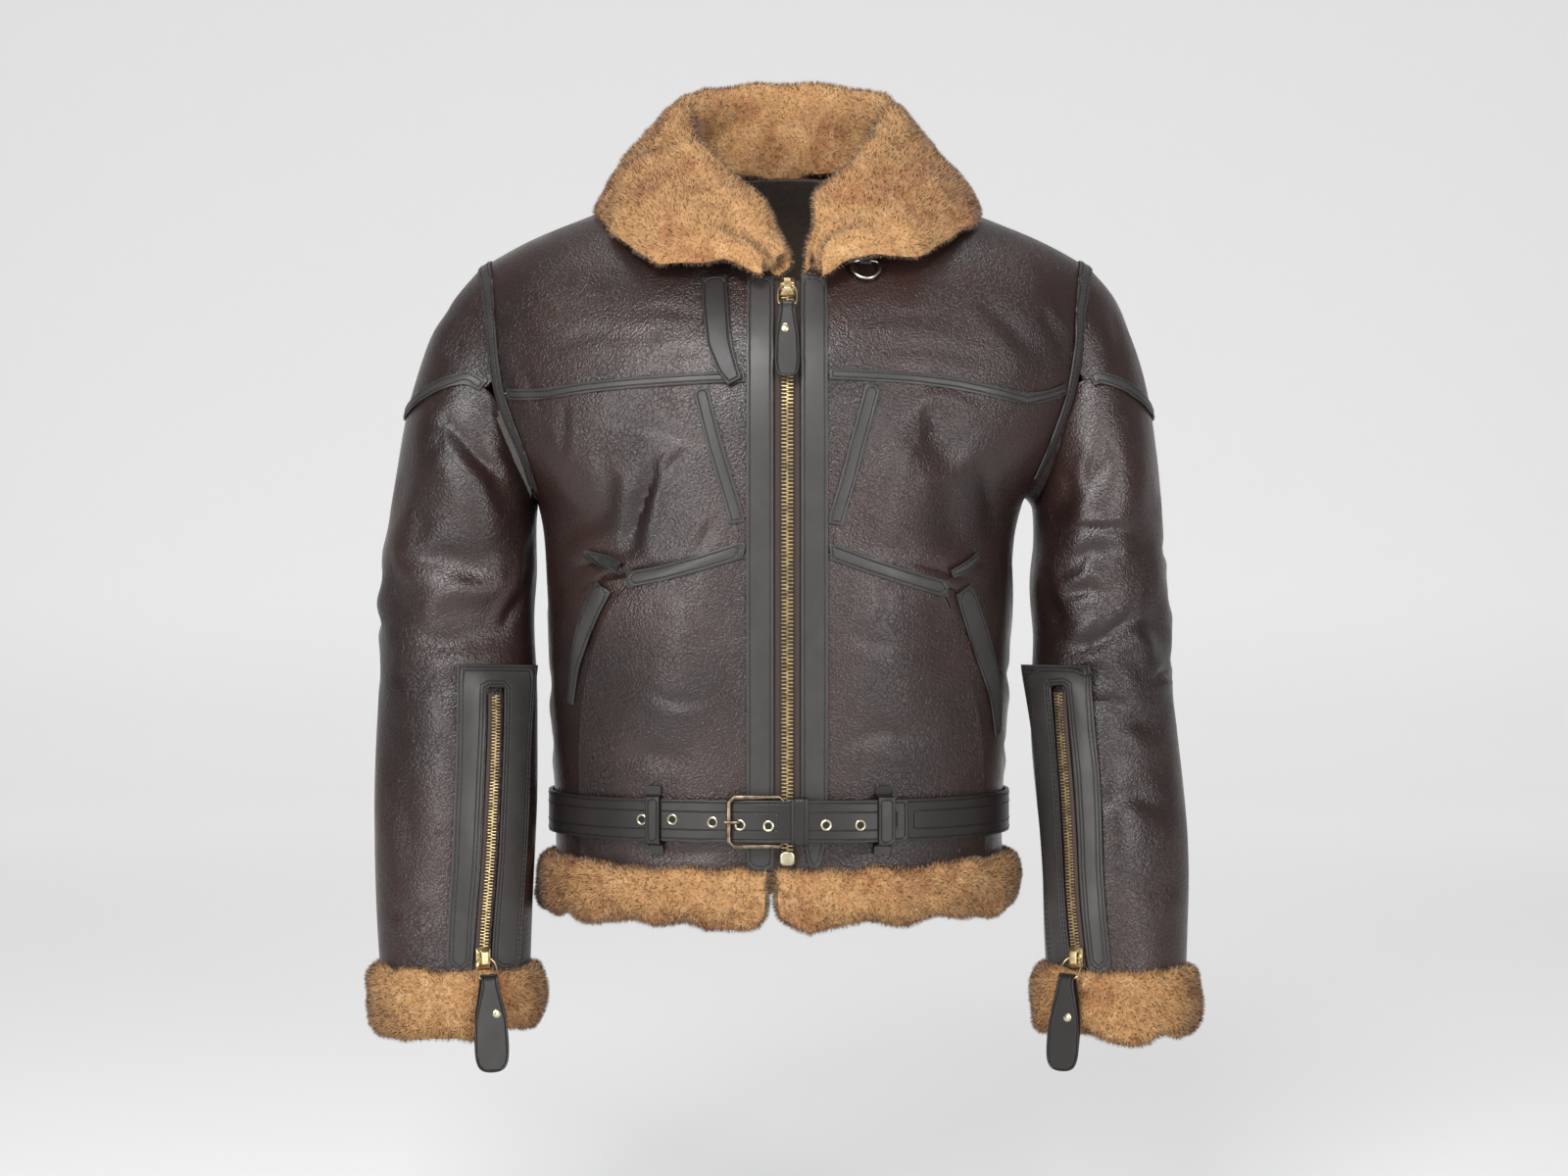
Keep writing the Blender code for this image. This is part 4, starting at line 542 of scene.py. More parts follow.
def outer_rim(obj, part, spacing=0.0008):
    """The rim of the side of a strip that faces away from the body."""
    mesh = bmesh.new()
    mesh.from_mesh(obj.data)
    mesh.faces.ensure_lookup_table()
    group = {}
    areas = []
    for start in mesh.faces:
        if start in group:
            continue
        index = len(areas)
        areas.append([])
        group[start] = index
        queue = [start]
        while queue:
            face = queue.pop()
            areas[index].append(face)
            for edge in face.edges:
                if edge.calc_face_angle(0.0) > math.radians(50):
                    continue
                for other in edge.link_faces:
                    if other not in group:
                        group[other] = index
                        queue.append(other)
    scores = []
    for faces in areas:
        middles = np.array([face.calc_center_median() for face in faces])
        normals = np.array([face.normal for face in faces])
        sizes = np.array([face.calc_area() for face in faces])
        out = outward(middles, part)
        facing = (normals * out).sum(1)
        furthest = ((middles * out).sum(1) * (facing > 0.3)).max()
        scores.append((sizes.sum(), (facing * sizes).sum() / sizes.sum(), furthest))
    large = sorted(range(len(areas)), key=lambda k: -scores[k][0])[:2]
    if abs(scores[large[0]][1] - scores[large[1]][1]) > 0.4:
        chosen = max(large, key=lambda k: scores[k][1])
    else:
        chosen = max(large, key=lambda k: scores[k][2])
    points, inward, along = [], [], []
    for edge in mesh.edges:
        inside = [face for face in edge.link_faces if group[face] == chosen]
        if len(inside) != 1:
            continue
        a, b = (np.array(vertex.co) for vertex in edge.verts)
        step = b - a
        length = np.linalg.norm(step)
        step /= length
        into = np.cross(np.array(inside[0].normal), step)
        middle = np.array(inside[0].calc_center_median())
        into *= 1.0 if np.dot(into, middle - a) > 0 else -1.0
        for share in np.arange(0.0, 1.0, min(spacing / length, 1.0)):
            points.append(a + step * length * share)
            inward.append(into)
            along.append(step)
    mesh.free()
    return Rim(np.array(points), unit_rows(np.array(inward)), unit_rows(np.array(along)))


def tree_of(points):
    """A tree that finds the nearest of these points."""
    tree = KDTree(len(points))
    for k, point in enumerate(points):
        tree.insert(point, k)
    tree.balance()
    return tree


def stitch_places(rim, surface, row, pitch, moved):
    """Where the stitches of one row lie: evenly spaced, this far in from the rim and on the surface."""
    tree = tree_of(rim.points)
    spots = rim.points + rim.inward * row
    kept = [k for k, spot in enumerate(spots) if tree.find(spot)[2] > row * 0.97]
    taken = KDTree(max(len(kept), 1))
    places = []
    chosen = []
    for k in kept:
        spot = spots[k]
        if chosen and min(np.linalg.norm(np.array(chosen[-60:]) - spot, axis=1)) < pitch:
            continue
        chosen.append(spot)
        target, out, _, _ = surface.find_nearest(Vector(spot + moved[k]))
        places.append(place_at(target, rim.along[k], out))
    del taken
    return places


def stitch_pattern(length, thick):
    """One stitch: a short rounded bar of thread."""
    bpy.ops.object.select_all(action="DESELECT")
    bpy.ops.mesh.primitive_uv_sphere_add(segments=6, ring_count=3, radius=0.5)
    pattern = bpy.context.object
    bpy.ops.object.mode_set(mode="EDIT")
    bpy.ops.mesh.select_all(action="SELECT")
    bpy.ops.transform.resize(value=(length, thick, thick))
    bpy.ops.object.mode_set(mode="OBJECT")
    return pattern


# Materials


class Wire:
    """A shader socket that works in sums, as a number does."""

    def __init__(self, finish, socket):
        self.finish = finish
        self.socket = socket

    def math(self, operation, *values):
        return self.finish.node("ShaderNodeMath", {"operation": operation}, dict(enumerate(values)))

    def __add__(self, other):
        return self.math("ADD", self, other)

    def __sub__(self, other):
        return self.math("SUBTRACT", self, other)

    def __mul__(self, other):
        return self.math("MULTIPLY", self, other)

    def __truediv__(self, other):
        return self.math("DIVIDE", self, other)

    def __pow__(self, other):
        return self.math("POWER", self, other)

    def __rsub__(self, other):
        return self.math("SUBTRACT", other, self)

    def __neg__(self):
        return self * -1.0

    __radd__ = __add__
    __rmul__ = __mul__

    def held(self):
        """The value kept between 0 and 1."""
        return self.finish.node("ShaderNodeClamp", {}, {"Value": self})

    def step(self, low, high):
        """A smooth step from 0 at low to 1 at high."""
        return self.finish.node(
            "ShaderNodeMapRange",
            {"interpolation_type": "SMOOTHSTEP"},
            {"Value": self, "From Min": low, "From Max": high},
        )

    def near(self, value, width):
        """1 at the value, falling to 0 a width away."""
        return 1.0 - self.math("ABSOLUTE", self - value).step(0.0, width)


class Finish:
    """A material that is built node by node."""

    def __init__(self, name):
        self.material = bpy.data.materials.new(name)
        self.material.use_nodes = True
        self.tree = self.material.node_tree
        self.shader = next(node for node in self.tree.nodes if node.type == "BSDF_PRINCIPLED")

    def node(self, kind, settings, values, output=0):
        """A node with its settings and the values or wires of its sockets, as a wire from one output."""
        node = self.tree.nodes.new(kind)
        for name, value in settings.items():
            if name == "stops":
                ramp = node.color_ramp
                while len(ramp.elements) < len(value):
                    ramp.elements.new(0.5)
                for element, (place, colour) in zip(ramp.elements, value):
                    element.position = place
                    element.color = (*colour, 1.0)
            else:
                setattr(node, name, value)
        for name, value in values.items():
            socket = node.inputs[name]
            if isinstance(value, Wire):
                self.tree.links.new(value.socket, socket)
            elif hasattr(value, "__len__") and len(value) == 3 and len(socket.default_value) == 4:
                socket.default_value = (*value, 1.0)
            else:
                socket.default_value = value
        return Wire(self, node.outputs[output])

    def place(self):
        """Where the shaded point is on the piece, in metres."""
        return self.node("ShaderNodeTexCoord", {}, {}, "Object")

    def attribute(self, name):
        """The number that the piece stores under this name."""
        return self.node("ShaderNodeAttribute", {"attribute_name": name}, {}, "Fac")

    def noise(self, scale, detail=3.0, rough=0.5, warp=0.0, place=None):
        """Soft cloudy noise."""
        return self.node(
            "ShaderNodeTexNoise",
            {},
            {
                "Vector": place or self.place(),
                "Scale": scale,
                "Detail": detail,
                "Roughness": rough,
                "Distortion": warp,
            },
        )

    def cells(self, scale, feature="F1", place=None):
        """The distance to the middle or the edge of a cell."""
        return self.node(
            "ShaderNodeTexVoronoi",
            {"feature": feature},
            {"Vector": place or self.place(), "Scale": scale},
            "Distance",
        )

    def mix(self, share, first, second):
        """The first colour at share 0 and the second at share 1."""
        return self.node(
            "ShaderNodeMix", {"data_type": "RGBA"}, {0: share, 6: first, 7: second}, 2
        )

    def tint(self, colour, amount):
        """The colour made lighter or darker by the amount."""
        grey = self.node("ShaderNodeCombineColor", {}, {0: amount, 1: amount, 2: amount})
        return self.node(
            "ShaderNodeMix", {"data_type": "RGBA", "blend_type": "MULTIPLY"}, {0: 1.0, 6: colour, 7: grey}, 2
        )

    def relief(self, height, strength, depth):
        """The surface's direction once the height is raised on it. Depth is in metres."""
        return self.node(
            "ShaderNodeBump", {}, {"Strength": strength, "Distance": depth, "Height": height}
        )

    def set(self, **values):
        """Sets the shader's own sockets, written with _ for spaces."""
        for name, value in values.items():
            socket = self.shader.inputs[name.replace("_", " ")]
            if isinstance(value, Wire):
                self.tree.links.new(value.socket, socket)
            elif hasattr(value, "__len__") and len(value) == 3:
                socket.default_value = (*value, 1.0)
            else:
                socket.default_value = value
        return self.material


def warped_place(finish, scale, amount):
    """The place, pushed about by noise so that a pattern on it isn't regular."""
    push = finish.node(
        "ShaderNodeTexNoise", {}, {"Vector": finish.place(), "Scale": scale, "Detail": 2.0}, "Color"
    )
    centred = finish.node("ShaderNodeVectorMath", {"operation": "SUBTRACT"}, {0: push, 1: (0.5, 0.5, 0.5)})
    scaled = finish.node("ShaderNodeVectorMath", {"operation": "SCALE"}, {0: centred, "Scale": amount})
    return finish.node("ShaderNodeVectorMath", {"operation": "ADD"}, {0: finish.place(), 1: scaled})


def hide_material(settings):
    """Dark pebbled sheepskin with a crackled, polished surface, and shade painted into the hollows of its grain and
    into its cracks.
    """
    finish = Finish("pebbled_hide")
    scale = 1000.0 / settings.grain_mm
    place = warped_place(finish, 260.0, 0.0016)
    pebbles = finish.cells(scale, "SMOOTH_F1", place)
    fine = finish.noise(scale * 2.2, 3.0, 0.6)
    lumps = finish.noise(scale * 0.35, 3.0, 0.55)
    cracks = finish.cells(scale * 0.34, "DISTANCE_TO_EDGE", warped_place(finish, 120.0, 0.006))
    worn = finish.noise(14.0, 4.0, 0.6, 0.6)
    crackled = (1.0 - cracks.step(0.0, 0.10)) * worn.step(0.42, 0.62)
    cloudy = finish.noise(9.0, 3.0, 0.55)
    height = pebbles * -1.2 + fine * 0.5 + lumps * 0.9 - crackled * 0.8
    tone = finish.mix(cloudy.step(0.35, 0.65), settings.hide_colour, settings.hide_deep_colour)
    # Painted shade: the sunken crack lines are darkened.
    tone = finish.mix(crackled * 0.5, tone, (0.008, 0.005, 0.004))
    # Painted shade: the hollows between the pebbles, sunk by the relief, are darkened.
    tone = finish.mix(pebbles.step(0.50, 0.95) * 0.7, tone, (0.007, 0.004, 0.0035))
    shine = 0.20 + worn.step(0.35, 0.7) * 0.12 + fine * 0.14
    return finish.set(
        Base_Color=tone,
        Roughness=shine,
        Specular_IOR_Level=0.5,
        Normal=finish.relief(height, 0.68, 0.0005),
    )


def smooth_leather_material(settings, name, colour, rows_mm=()):
    """Smooth leather, pressed in along its stitching with shade painted into these grooves, and sunk in and darker
    at its rim.
    """
    finish = Finish(name)
    rim = finish.attribute("rim_mm")
    pores = finish.cells(1500.0, "F1")
    soft = finish.noise(60.0, 3.0)
    scuffs = finish.noise(25.0, 4.0, 0.65, 0.5)
    edge = 1.0 - rim.step(0.0, 0.9)
    height = pores * -0.12 + soft * 0.5 - edge * 0.8
    sewn = None
    for row in rows_mm:
        line = rim.near(row, 0.9)
        sewn = line if sewn is None else sewn + line
    if sewn is not None:
        puckers = finish.noise(330.0, 1.0)
        height = height - sewn * (0.8 + puckers * 1.4)
    tone = finish.mix(scuffs.step(0.35, 0.7), colour, [channel * 0.72 for channel in colour])
    # Painted shade: the pressed-in stitch rows are darkened.
    if sewn is not None:
        tone = finish.mix((sewn * 0.65).held(), tone, [channel * 0.28 for channel in colour])
    # Darker within about a millimetre of the rim.
    tone = finish.mix(edge * 0.6, tone, [channel * 0.35 for channel in colour])
    return finish.set(
        Base_Color=tone,
        Roughness=0.34 + scuffs * 0.16,
        Specular_IOR_Level=0.4,
        Normal=finish.relief(height, 0.6, 0.0006),
    )


def lining_material(settings):
    """The dark pile on the inside of the skins."""
    finish = Finish("dark_pile")
    curls = finish.noise(300.0, 4.0, 0.7)
    patches = finish.noise(30.0, 3.0)
    tone = finish.mix(curls * patches, settings.lining_colour, [channel * 0.3 for channel in settings.lining_colour])
    return finish.set(
        Base_Color=tone, Roughness=0.95, Normal=finish.relief(curls, 1.0, 0.003), Sheen_Weight=0.2
    )


def wool_material(settings, name, strands):
    """Clipped sheep's wool: golden tan with ginger patches, with painted shade where the pile parts, towards the
    roots of the strands and in the hollows of the pile.
    """
    finish = Finish(name)
    patches = finish.noise(15.0, 3.0, 0.55, 0.5)
    cloudy = finish.noise(60.0, 3.0, 0.6)
    parting_shade = finish.noise(170.0, 3.0, 0.65, 1.2)
    tone = finish.mix(patches.step(0.47, 0.64), settings.wool_colour, settings.ginger_colour)
    tone = finish.mix(cloudy.step(0.45, 0.75) * 0.7, tone, settings.tip_colour)
    # Painted shade where the pile parts.
    tone = finish.mix(parting_shade.step(0.58, 0.72) * 0.55, tone, settings.root_shade_colour)
    if strands:
        tip = finish.attribute("tip")
        own = finish.attribute("tone")
        # Painted shade towards the root of each strand.
        tone = finish.mix((1.0 - tip) * 0.2, tone, settings.root_shade_colour)
        tone = finish.mix((tip * own).step(0.3, 1.0) * 0.35, tone, settings.tip_colour)
        return finish.set(Base_Color=tone, Roughness=0.8, Sheen_Weight=0.15, Sheen_Roughness=0.5)
    pile = finish.noise(420.0, 4.0, 0.75)
    # Painted shade in the hollows of the pile.
    tone = finish.mix((1.0 - pile.step(0.35, 0.6)) * 0.45, tone, settings.root_shade_colour)
    return finish.set(Base_Color=tone, Roughness=0.9, Normal=finish.relief(pile, 0.6, 0.0015))


def metal_material(name, colour, rough, dark=0.45):
    """Worn metal, darker in patches."""
    finish = Finish(name)
    patina = finish.noise(160.0, 4.0, 0.6)
    scratches = finish.noise(900.0, 2.0)
    tone = finish.mix(patina.step(0.42, 0.66), colour, [channel * dark for channel in colour])
    return finish.set(
        Base_Color=tone,
        Metallic=1.0,
        Roughness=rough + patina * 0.16,
        Normal=finish.relief(scratches, 0.25, 0.0002),
    )


def tape_material():
    """The woven tape of a zip."""
    finish = Finish("zip_tape")
    weave = finish.node(
        "ShaderNodeTexWave",
        {"wave_type": "BANDS", "bands_direction": "DIAGONAL"},
        {"Vector": finish.place(), "Scale": 420.0, "Distortion": 0.6},
    )
    tone = finish.mix(weave, (0.020, 0.013, 0.011), (0.055, 0.036, 0.030))
    return finish.set(Base_Color=tone, Roughness=0.85, Normal=finish.relief(weave, 0.5, 0.0004))


def thread_material(settings):
    """Waxed sewing thread."""
    finish = Finish("thread")
    twist = finish.noise(2600.0, 2.0)
    tone = finish.mix(twist, settings.thread_colour, [channel * 0.5 for channel in settings.thread_colour])
    return finish.set(Base_Color=tone, Roughness=0.55)


def hole_shade_material():
    """Painted shade: a dark disc that stands for the shaded hole inside an eyelet."""
    finish = Finish("eyelet_hole_shade")
    soft = finish.noise(900.0, 2.0)
    return finish.set(Base_Color=finish.mix(soft, (0.006, 0.005, 0.005), (0.015, 0.012, 0.011)), Roughness=0.9)


# Settings


def colour_setting(name, description, default):
    """A colour that a user may change, in linear light."""
    return FloatVectorProperty(name=name, description=description, subtype="COLOR", min=0, max=1, default=default)


def length_setting(name, description, default):
    """A length in millimetres that a user may change."""
    return FloatProperty(name=name, description=description, min=0.0, default=default)


class LeatherSettings(bpy.types.PropertyGroup):
    """Colours and grain of the leather."""

    hide_colour: colour_setting("Hide", "Colour of the pebbled panels", (0.026, 0.0125, 0.0105))
    hide_deep_colour: colour_setting("Hide, deep", "Darker patches of the panels", (0.013, 0.0072, 0.0062))
    trim_colour: colour_setting("Trim", "Colour of the seam tapes and plackets", (0.036, 0.033, 0.0315))
    belt_colour: colour_setting("Belt", "Colour of the belt and its loops", (0.013, 0.0105, 0.0095))
    pull_colour: colour_setting("Pulls", "Colour of the leather zip pulls", (0.013, 0.0105, 0.0095))
    thread_colour: colour_setting("Thread", "Colour of the stitches", (0.005, 0.004, 0.004))
    lining_colour: colour_setting("Lining", "Colour of the pile inside", (0.050, 0.030, 0.018))
    grain_mm: length_setting("Grain", "Size of the pebbled grain, in mm", 1.6)
    stitch_mm: length_setting("Stitch", "Length of a stitch, in mm", 2.5)
    pitch_mm: length_setting("Stitch pitch", "Distance from stitch to stitch, in mm", 3.4)


class WoolSettings(bpy.types.PropertyGroup):
    """Colours and pile of the wool."""

    wool_colour: colour_setting("Wool", "Main colour of the wool", (0.445, 0.246, 0.102))
    ginger_colour: colour_setting("Ginger", "Colour of its darker patches", (0.335, 0.156, 0.062))
    tip_colour: colour_setting("Tips", "Colour of its pale tips", (0.56, 0.355, 0.175))
    # Painted shade laid deep in the pile: where it parts, towards the roots and in its hollows.
    root_shade_colour: colour_setting("Root_shade", "Colour deep in the pile", (0.235, 0.110, 0.041))
    pile_mm: length_setting("Pile", "Length of the strands, in mm", 3.8)
    strand_mm: length_setting("Strand", "Width of a strand at its root, in mm", 0.45)
    seed: IntProperty(name="Seed", description="Start of the random numbers", default=7)


class MetalSettings(bpy.types.PropertyGroup):
    """Colours of the zips, buckle, eyelets and ring."""

    brass_colour: colour_setting("Zip brass", "Colour of teeth, sliders and bails", (0.62, 0.48, 0.26))
    buckle_colour: colour_setting("Buckle", "Colour of the buckle and its prong", (0.26, 0.20, 0.14))
    eyelet_colour: colour_setting("Eyelets", "Colour of eyelets, rivets and the zip's foot", (0.56, 0.51, 0.36))
    nickel_colour: colour_setting("Ring", "Colour of the ring under the collar", (0.62, 0.61, 0.58))
    tooth_pitch_mm: length_setting("Tooth pitch", "Distance from tooth to tooth of the front zip, in mm", 1.5)


class StageSettings(bpy.types.PropertyGroup):
    """Backdrop and lights."""

    backdrop_colour: colour_setting("Backdrop", "Colour of the backdrop and the floor", (0.79, 0.79, 0.79))
    key_power: FloatProperty(name="Key light", description="Power of the main softbox, in watts", default=58.0)
    fill_power: FloatProperty(name="Fill light", description="Power of each side softbox, in watts", default=28.0)
    sky: FloatProperty(name="Sky", description="Strength of the light from all round", default=0.26)
    backdrop_glow: FloatProperty(name="Glow", description="Light that the backdrop gives by itself", default=0.44)


# Pieces


def part_of(trim, side):
    """The part whose creases a trim takes."""
    return trim.part if trim.part == "body" else f"{trim.part}_{side}"


def line_inside(obj, lining, part):
    """Gives the faces that look into the jacket the lining's finish."""
    obj.data.materials.append(lining)
    middles = np.array([face.center for face in obj.data.polygons])
    normals = np.array([face.normal for face in obj.data.polygons])
    inner = (normals * outward(middles, part)).sum(1) < 0.2
    obj.data.polygons.foreach_set("material_index", inner.astype(np.int32))
    obj.data.update()


def build_panel(node, panel, hide, lining):
    """One leather panel with its creases, lined with pile."""
    obj = copy_of(node, f"leather_{node}")
    crease_edges(obj)
    subdivide(obj, panel.levels)
    points = points_of(obj)
    set_points(obj, points + fold(points, panel.part))
    obj.data.materials.append(hide)
    line_inside(obj, lining, panel.part)
    smooth(obj)
    finish_piece(obj, None, replaces=node)
    return obj


def build_strip(node, part, material, rows_mm, pitch, levels=2, body=ROOT, folded=True):
    """One strip of smooth leather with its rim marked, and the places of its stitches."""
    obj = copy_of(node, f"strip_{node}")
    rim = outer_rim(obj, part)
    crease_edges(obj)
    subdivide(obj, levels)
    points = points_of(obj)
    moved = np.zeros_like(rim.points)
    if folded:
        set_points(obj, points + fold(points, part))
        moved = fold(rim.points, part)
    tree = tree_of(rim.points)
    set_attribute(obj, "rim_mm", [tree.find(point)[2] * 1000 for point in points])
    smooth(obj)
    finish_piece(obj, material, body=body, replaces=node)
    surface = surface_of(obj)
    places = []
    for row in rows_mm:
        places += stitch_places(rim, surface, row / 1000, pitch, moved)
    return obj, places


def hard_piece(node, material, body=ROOT, levels=2, hold=0.35, bevel=0.0):
    """A metal piece: the node's own form, rounded."""
    obj = copy_of(node, f"metal_{node}")
    if bevel:
        apply_modifier(obj, "BEVEL", width=bevel, segments=2, limit_method="ANGLE", angle_limit=math.radians(35))
    else:
        crease_edges(obj, 50.0, hold)
        subdivide(obj, levels)
    smooth(obj)
    return finish_piece(obj, material, body=body, replaces=node)


class JACKET_OT_panels(bpy.types.Operator):
    """Leather panels of the body and the sleeves"""

    bl_idname = "jacket.panels"
    bl_label = "Leather panels"

    def execute(self, context):
        settings = context.scene.jacket_leather
        hide = hide_material(settings)
        lining = lining_material(settings)
        for node, panel in PANELS.items():
            build_panel(node, panel, hide, lining)
        return {"FINISHED"}


class JACKET_OT_trims(bpy.types.Operator):
    """Seam tapes, plackets, pockets, cuff facings and the collar strap"""

    bl_idname = "jacket.trims"
    bl_label = "Smooth leather trims"

    def execute(self, context):
        settings = context.scene.jacket_leather
        pitch = settings.pitch_mm / 1000
        places = []
        for kind, trim in TRIMS.items():
            material = smooth_leather_material(settings, f"smooth_{kind}", settings.trim_colour, trim.rows_mm)
            for side in SIDES:
                places += build_strip(f"{kind}_{side}", part_of(trim, side), material, trim.rows_mm, pitch)[1]
        material = smooth_leather_material(settings, "smooth_strap", settings.belt_colour, (2.4,))
        places += build_strip("collar_strap", "body", material, (2.4,), pitch)[1]
        build_strip("ring_loop", "body", material, (), pitch, folded=False)
        pattern = stitch_pattern(settings.stitch_mm / 1000, 0.0009)
        scatter("stitches_trims", pattern, places, thread_material(settings))
        drop_pattern(pattern)
        return {"FINISHED"}


class JACKET_OT_wool(bpy.types.Operator):
    """Wool of the collar, the cuffs and the hem"""

    bl_idname = "jacket.wool"
    bl_label = "Wool"

    def execute(self, context):
        settings = context.scene.jacket_wool
        body_finish = wool_material(settings, "wool_pile", False)
        strand_finish = wool_material(settings, "wool_strands", True)
        for k, (node, count) in enumerate(WOOL_STRANDS.items()):
            grow_wool(node, count, settings, body_finish, strand_finish, settings.seed + k)
        return {"FINISHED"}


WOOL_STRANDS = {
    "collar": 152000,
    "hem_fur_R": 62000,
    "hem_fur_L": 62000,
    "cuff_fur_R": 46000,
    "cuff_fur_L": 46000,
}
PILE_DEPTH = 0.0022
WAVY_EDGE = 0.0075
BAND_SEAM = 0.022
REAR_MEETING = 0.016
REAR_OVERLAP = 0.0045


class Swell(NamedTuple):
    """A place where the wool stands further out than its solid, in pixels of the photograph."""

    across: float
    down: float
    radius: float
    shift_across: float
    shift_down: float


COLLAR_SWELLS = (
    Swell(760, 188, 26, 21, 4),
    Swell(779, 218, 24, 15, 3),
    Swell(790, 248, 24, 16, 8),
    Swell(772, 262, 22, 0, 14),
    Swell(850, 188, 26, -17, 3),
    Swell(802, 172, 38, 0, 14),
    Swell(824, 258, 22, 3, 16),
    Swell(845, 262, 18, 0, 12),
    Swell(620, 230, 30, -7, 9),
    Swell(662, 262, 30, -2, 12),
    Swell(708, 266, 30, 0, 8),
    Swell(985, 218, 30, 12, 7),
    Swell(945, 252, 30, 2, 9),
    Swell(800, 92, 55, 0, -6),
)


def swell(points, swells):
    """How far these places move the points sideways and down, from the front."""
    across, down = photo_place(points, "front")
    moved = np.zeros_like(points)
    for place in swells:
        gap = np.hypot(across - place.across, down - place.down) / place.radius
        share = np.exp(-(gap**2))
        moved[:, 0] += share * place.shift_across * METRES_PER_PIXEL
        moved[:, 2] -= share * place.shift_down * METRES_PER_PIXEL
    return moved


def pick_places(obj, count, chance):
    """Random places spread evenly over the piece, and the outward direction at each."""
    obj.data.calc_loop_triangles()
    corners = np.empty(len(obj.data.loop_triangles) * 3, np.int32)
    obj.data.loop_triangles.foreach_get("vertices", corners)
    corners = corners.reshape(-1, 3)
    points, normals = points_of(obj), normals_of(obj)
    a, b, c = (points[corners[:, k]] for k in range(3))
    areas = np.linalg.norm(np.cross(b - a, c - a), axis=1)
    chosen = corners[chance.choice(len(corners), count, p=areas / areas.sum())]
    u, v = chance.random((2, count))
    over = u + v > 1
    u[over], v[over] = 1 - u[over], 1 - v[over]
    shares = np.stack([1 - u - v, u, v], axis=1)[..., None]
    return (points[chosen] * shares).sum(1), unit_rows((normals[chosen] * shares).sum(1))


def wavy_band(node, points, normals, lumps):
    """A band of wool made uneven, but never drawn away from the seam along its top or from its rear end."""
    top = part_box(node)[1].z
    sewn = ease(top - BAND_SEAM, top, points[:, 2])
    waves = wobble(points * np.array((1, 1, 0.3)), 0.03, 8.0)[:, 2] * WAVY_EDGE
    raised = waves * (1 - sewn) + np.abs(waves) * sewn
    swollen = (lumps - PILE_DEPTH) * (1 - sewn) + np.abs(lumps) * 0.5 * sewn
    shaped = points + normals * swollen[:, None] + np.array((0.0, 0.0, 1.0)) * raised[:, None]
    if node.startswith("hem"):
        rear_end = ease(REAR_MEETING, 0.0, np.abs(points[:, 0])) * (points[:, 1] > 0.0)
        meeting = points[:, 0] - np.sign(points[:, 0].mean()) * REAR_OVERLAP
        shaped[:, 0] += rear_end * (meeting - shaped[:, 0])
    return shaped


def grow_wool(node, count, settings, body_finish, strand_finish, seed):
    """A body of clipped pile a little under the surface, and short strands that reach the surface."""
    obj = copy_of(node, f"pile_{node}")
    crease_edges(obj, 70.0, 0.35)
    subdivide(obj, 2)
    points, normals = points_of(obj), normals_of(obj)
    lumps = wobble(points, 0.026, 4.0)[:, 0] * 0.0040 + wobble(points, 0.010, 5.0)[:, 0] * 0.0016
    if node == "collar":
        points = points + swell(points, COLLAR_SWELLS) + normals * (lumps - PILE_DEPTH)[:, None]
    else:
        points = wavy_band(node, points, normals, lumps)
    set_points(obj, points)
    smooth(obj, 60.0)
    chance = np.random.default_rng(seed)
    roots, out = pick_places(obj, count, chance)
    clump = wobble(roots, 0.0045, 6.0)
    sweep = wobble(roots, 0.028, 7.0)
    lean = 0.28 * clump + 0.22 * sweep + 0.25 * chance.normal(size=(count, 3))
    lean[:, 2] -= 0.10
    lean -= out * (lean * out).sum(1, keepdims=True)
    way = unit_rows(out + lean)
    length = settings.pile_mm / 1000 * (0.75 + 0.4 * chance.random(count)) * (1 + 0.3 * clump[:, 0])
    side = unit_rows(np.cross(way, chance.normal(size=(count, 3))))
    wide = (settings.strand_mm / 2000 * (0.7 + 0.6 * chance.random(count)))[:, None]
    rows = np.stack([roots - side * wide, roots + side * wide, roots + way * length[:, None]], axis=1)
    mesh = bpy.data.meshes.new(f"strands_{node}")
    mesh.vertices.add(count * 3)
    mesh.vertices.foreach_set("co", rows.ravel())
    mesh.loops.add(count * 3)
    mesh.loops.foreach_set("vertex_index", np.arange(count * 3, dtype=np.int32))
    mesh.polygons.add(count)
    mesh.polygons.foreach_set("loop_start", np.arange(count, dtype=np.int32) * 3)
    mesh.update(calc_edges=True)
    strands = bpy.data.objects.new(f"strands_{node}", mesh)
    bpy.context.scene.collection.objects.link(strands)
    set_attribute(strands, "tip", np.tile((0.0, 0.0, 1.0), count))
    set_attribute(strands, "tone", np.repeat(chance.random(count), 3))
    mesh.polygons.foreach_set("use_smooth", np.ones(count, bool))
    shown = unit_rows(out + 0.5 * lean + 0.10 * chance.normal(size=(count, 3)))
    mesh.normals_split_custom_set_from_vertices(np.repeat(shown, 3, axis=0).tolist())
    finish_piece(obj, body_finish, replaces=node)
    finish_piece(strands, strand_finish)


def tooth_pattern(wide, tall, thick):
    """One zip tooth: a bevelled bar."""
    bpy.ops.object.select_all(action="DESELECT")
    bpy.ops.mesh.primitive_cube_add(size=1.0)
    pattern = bpy.context.object
    bpy.ops.object.mode_set(mode="EDIT")
    bpy.ops.mesh.select_all(action="SELECT")
    bpy.ops.transform.resize(value=(wide, tall, thick))
    bpy.ops.mesh.bevel(offset=tall * 0.28, segments=1, affect="EDGES")
    bpy.ops.object.mode_set(mode="OBJECT")
    return pattern


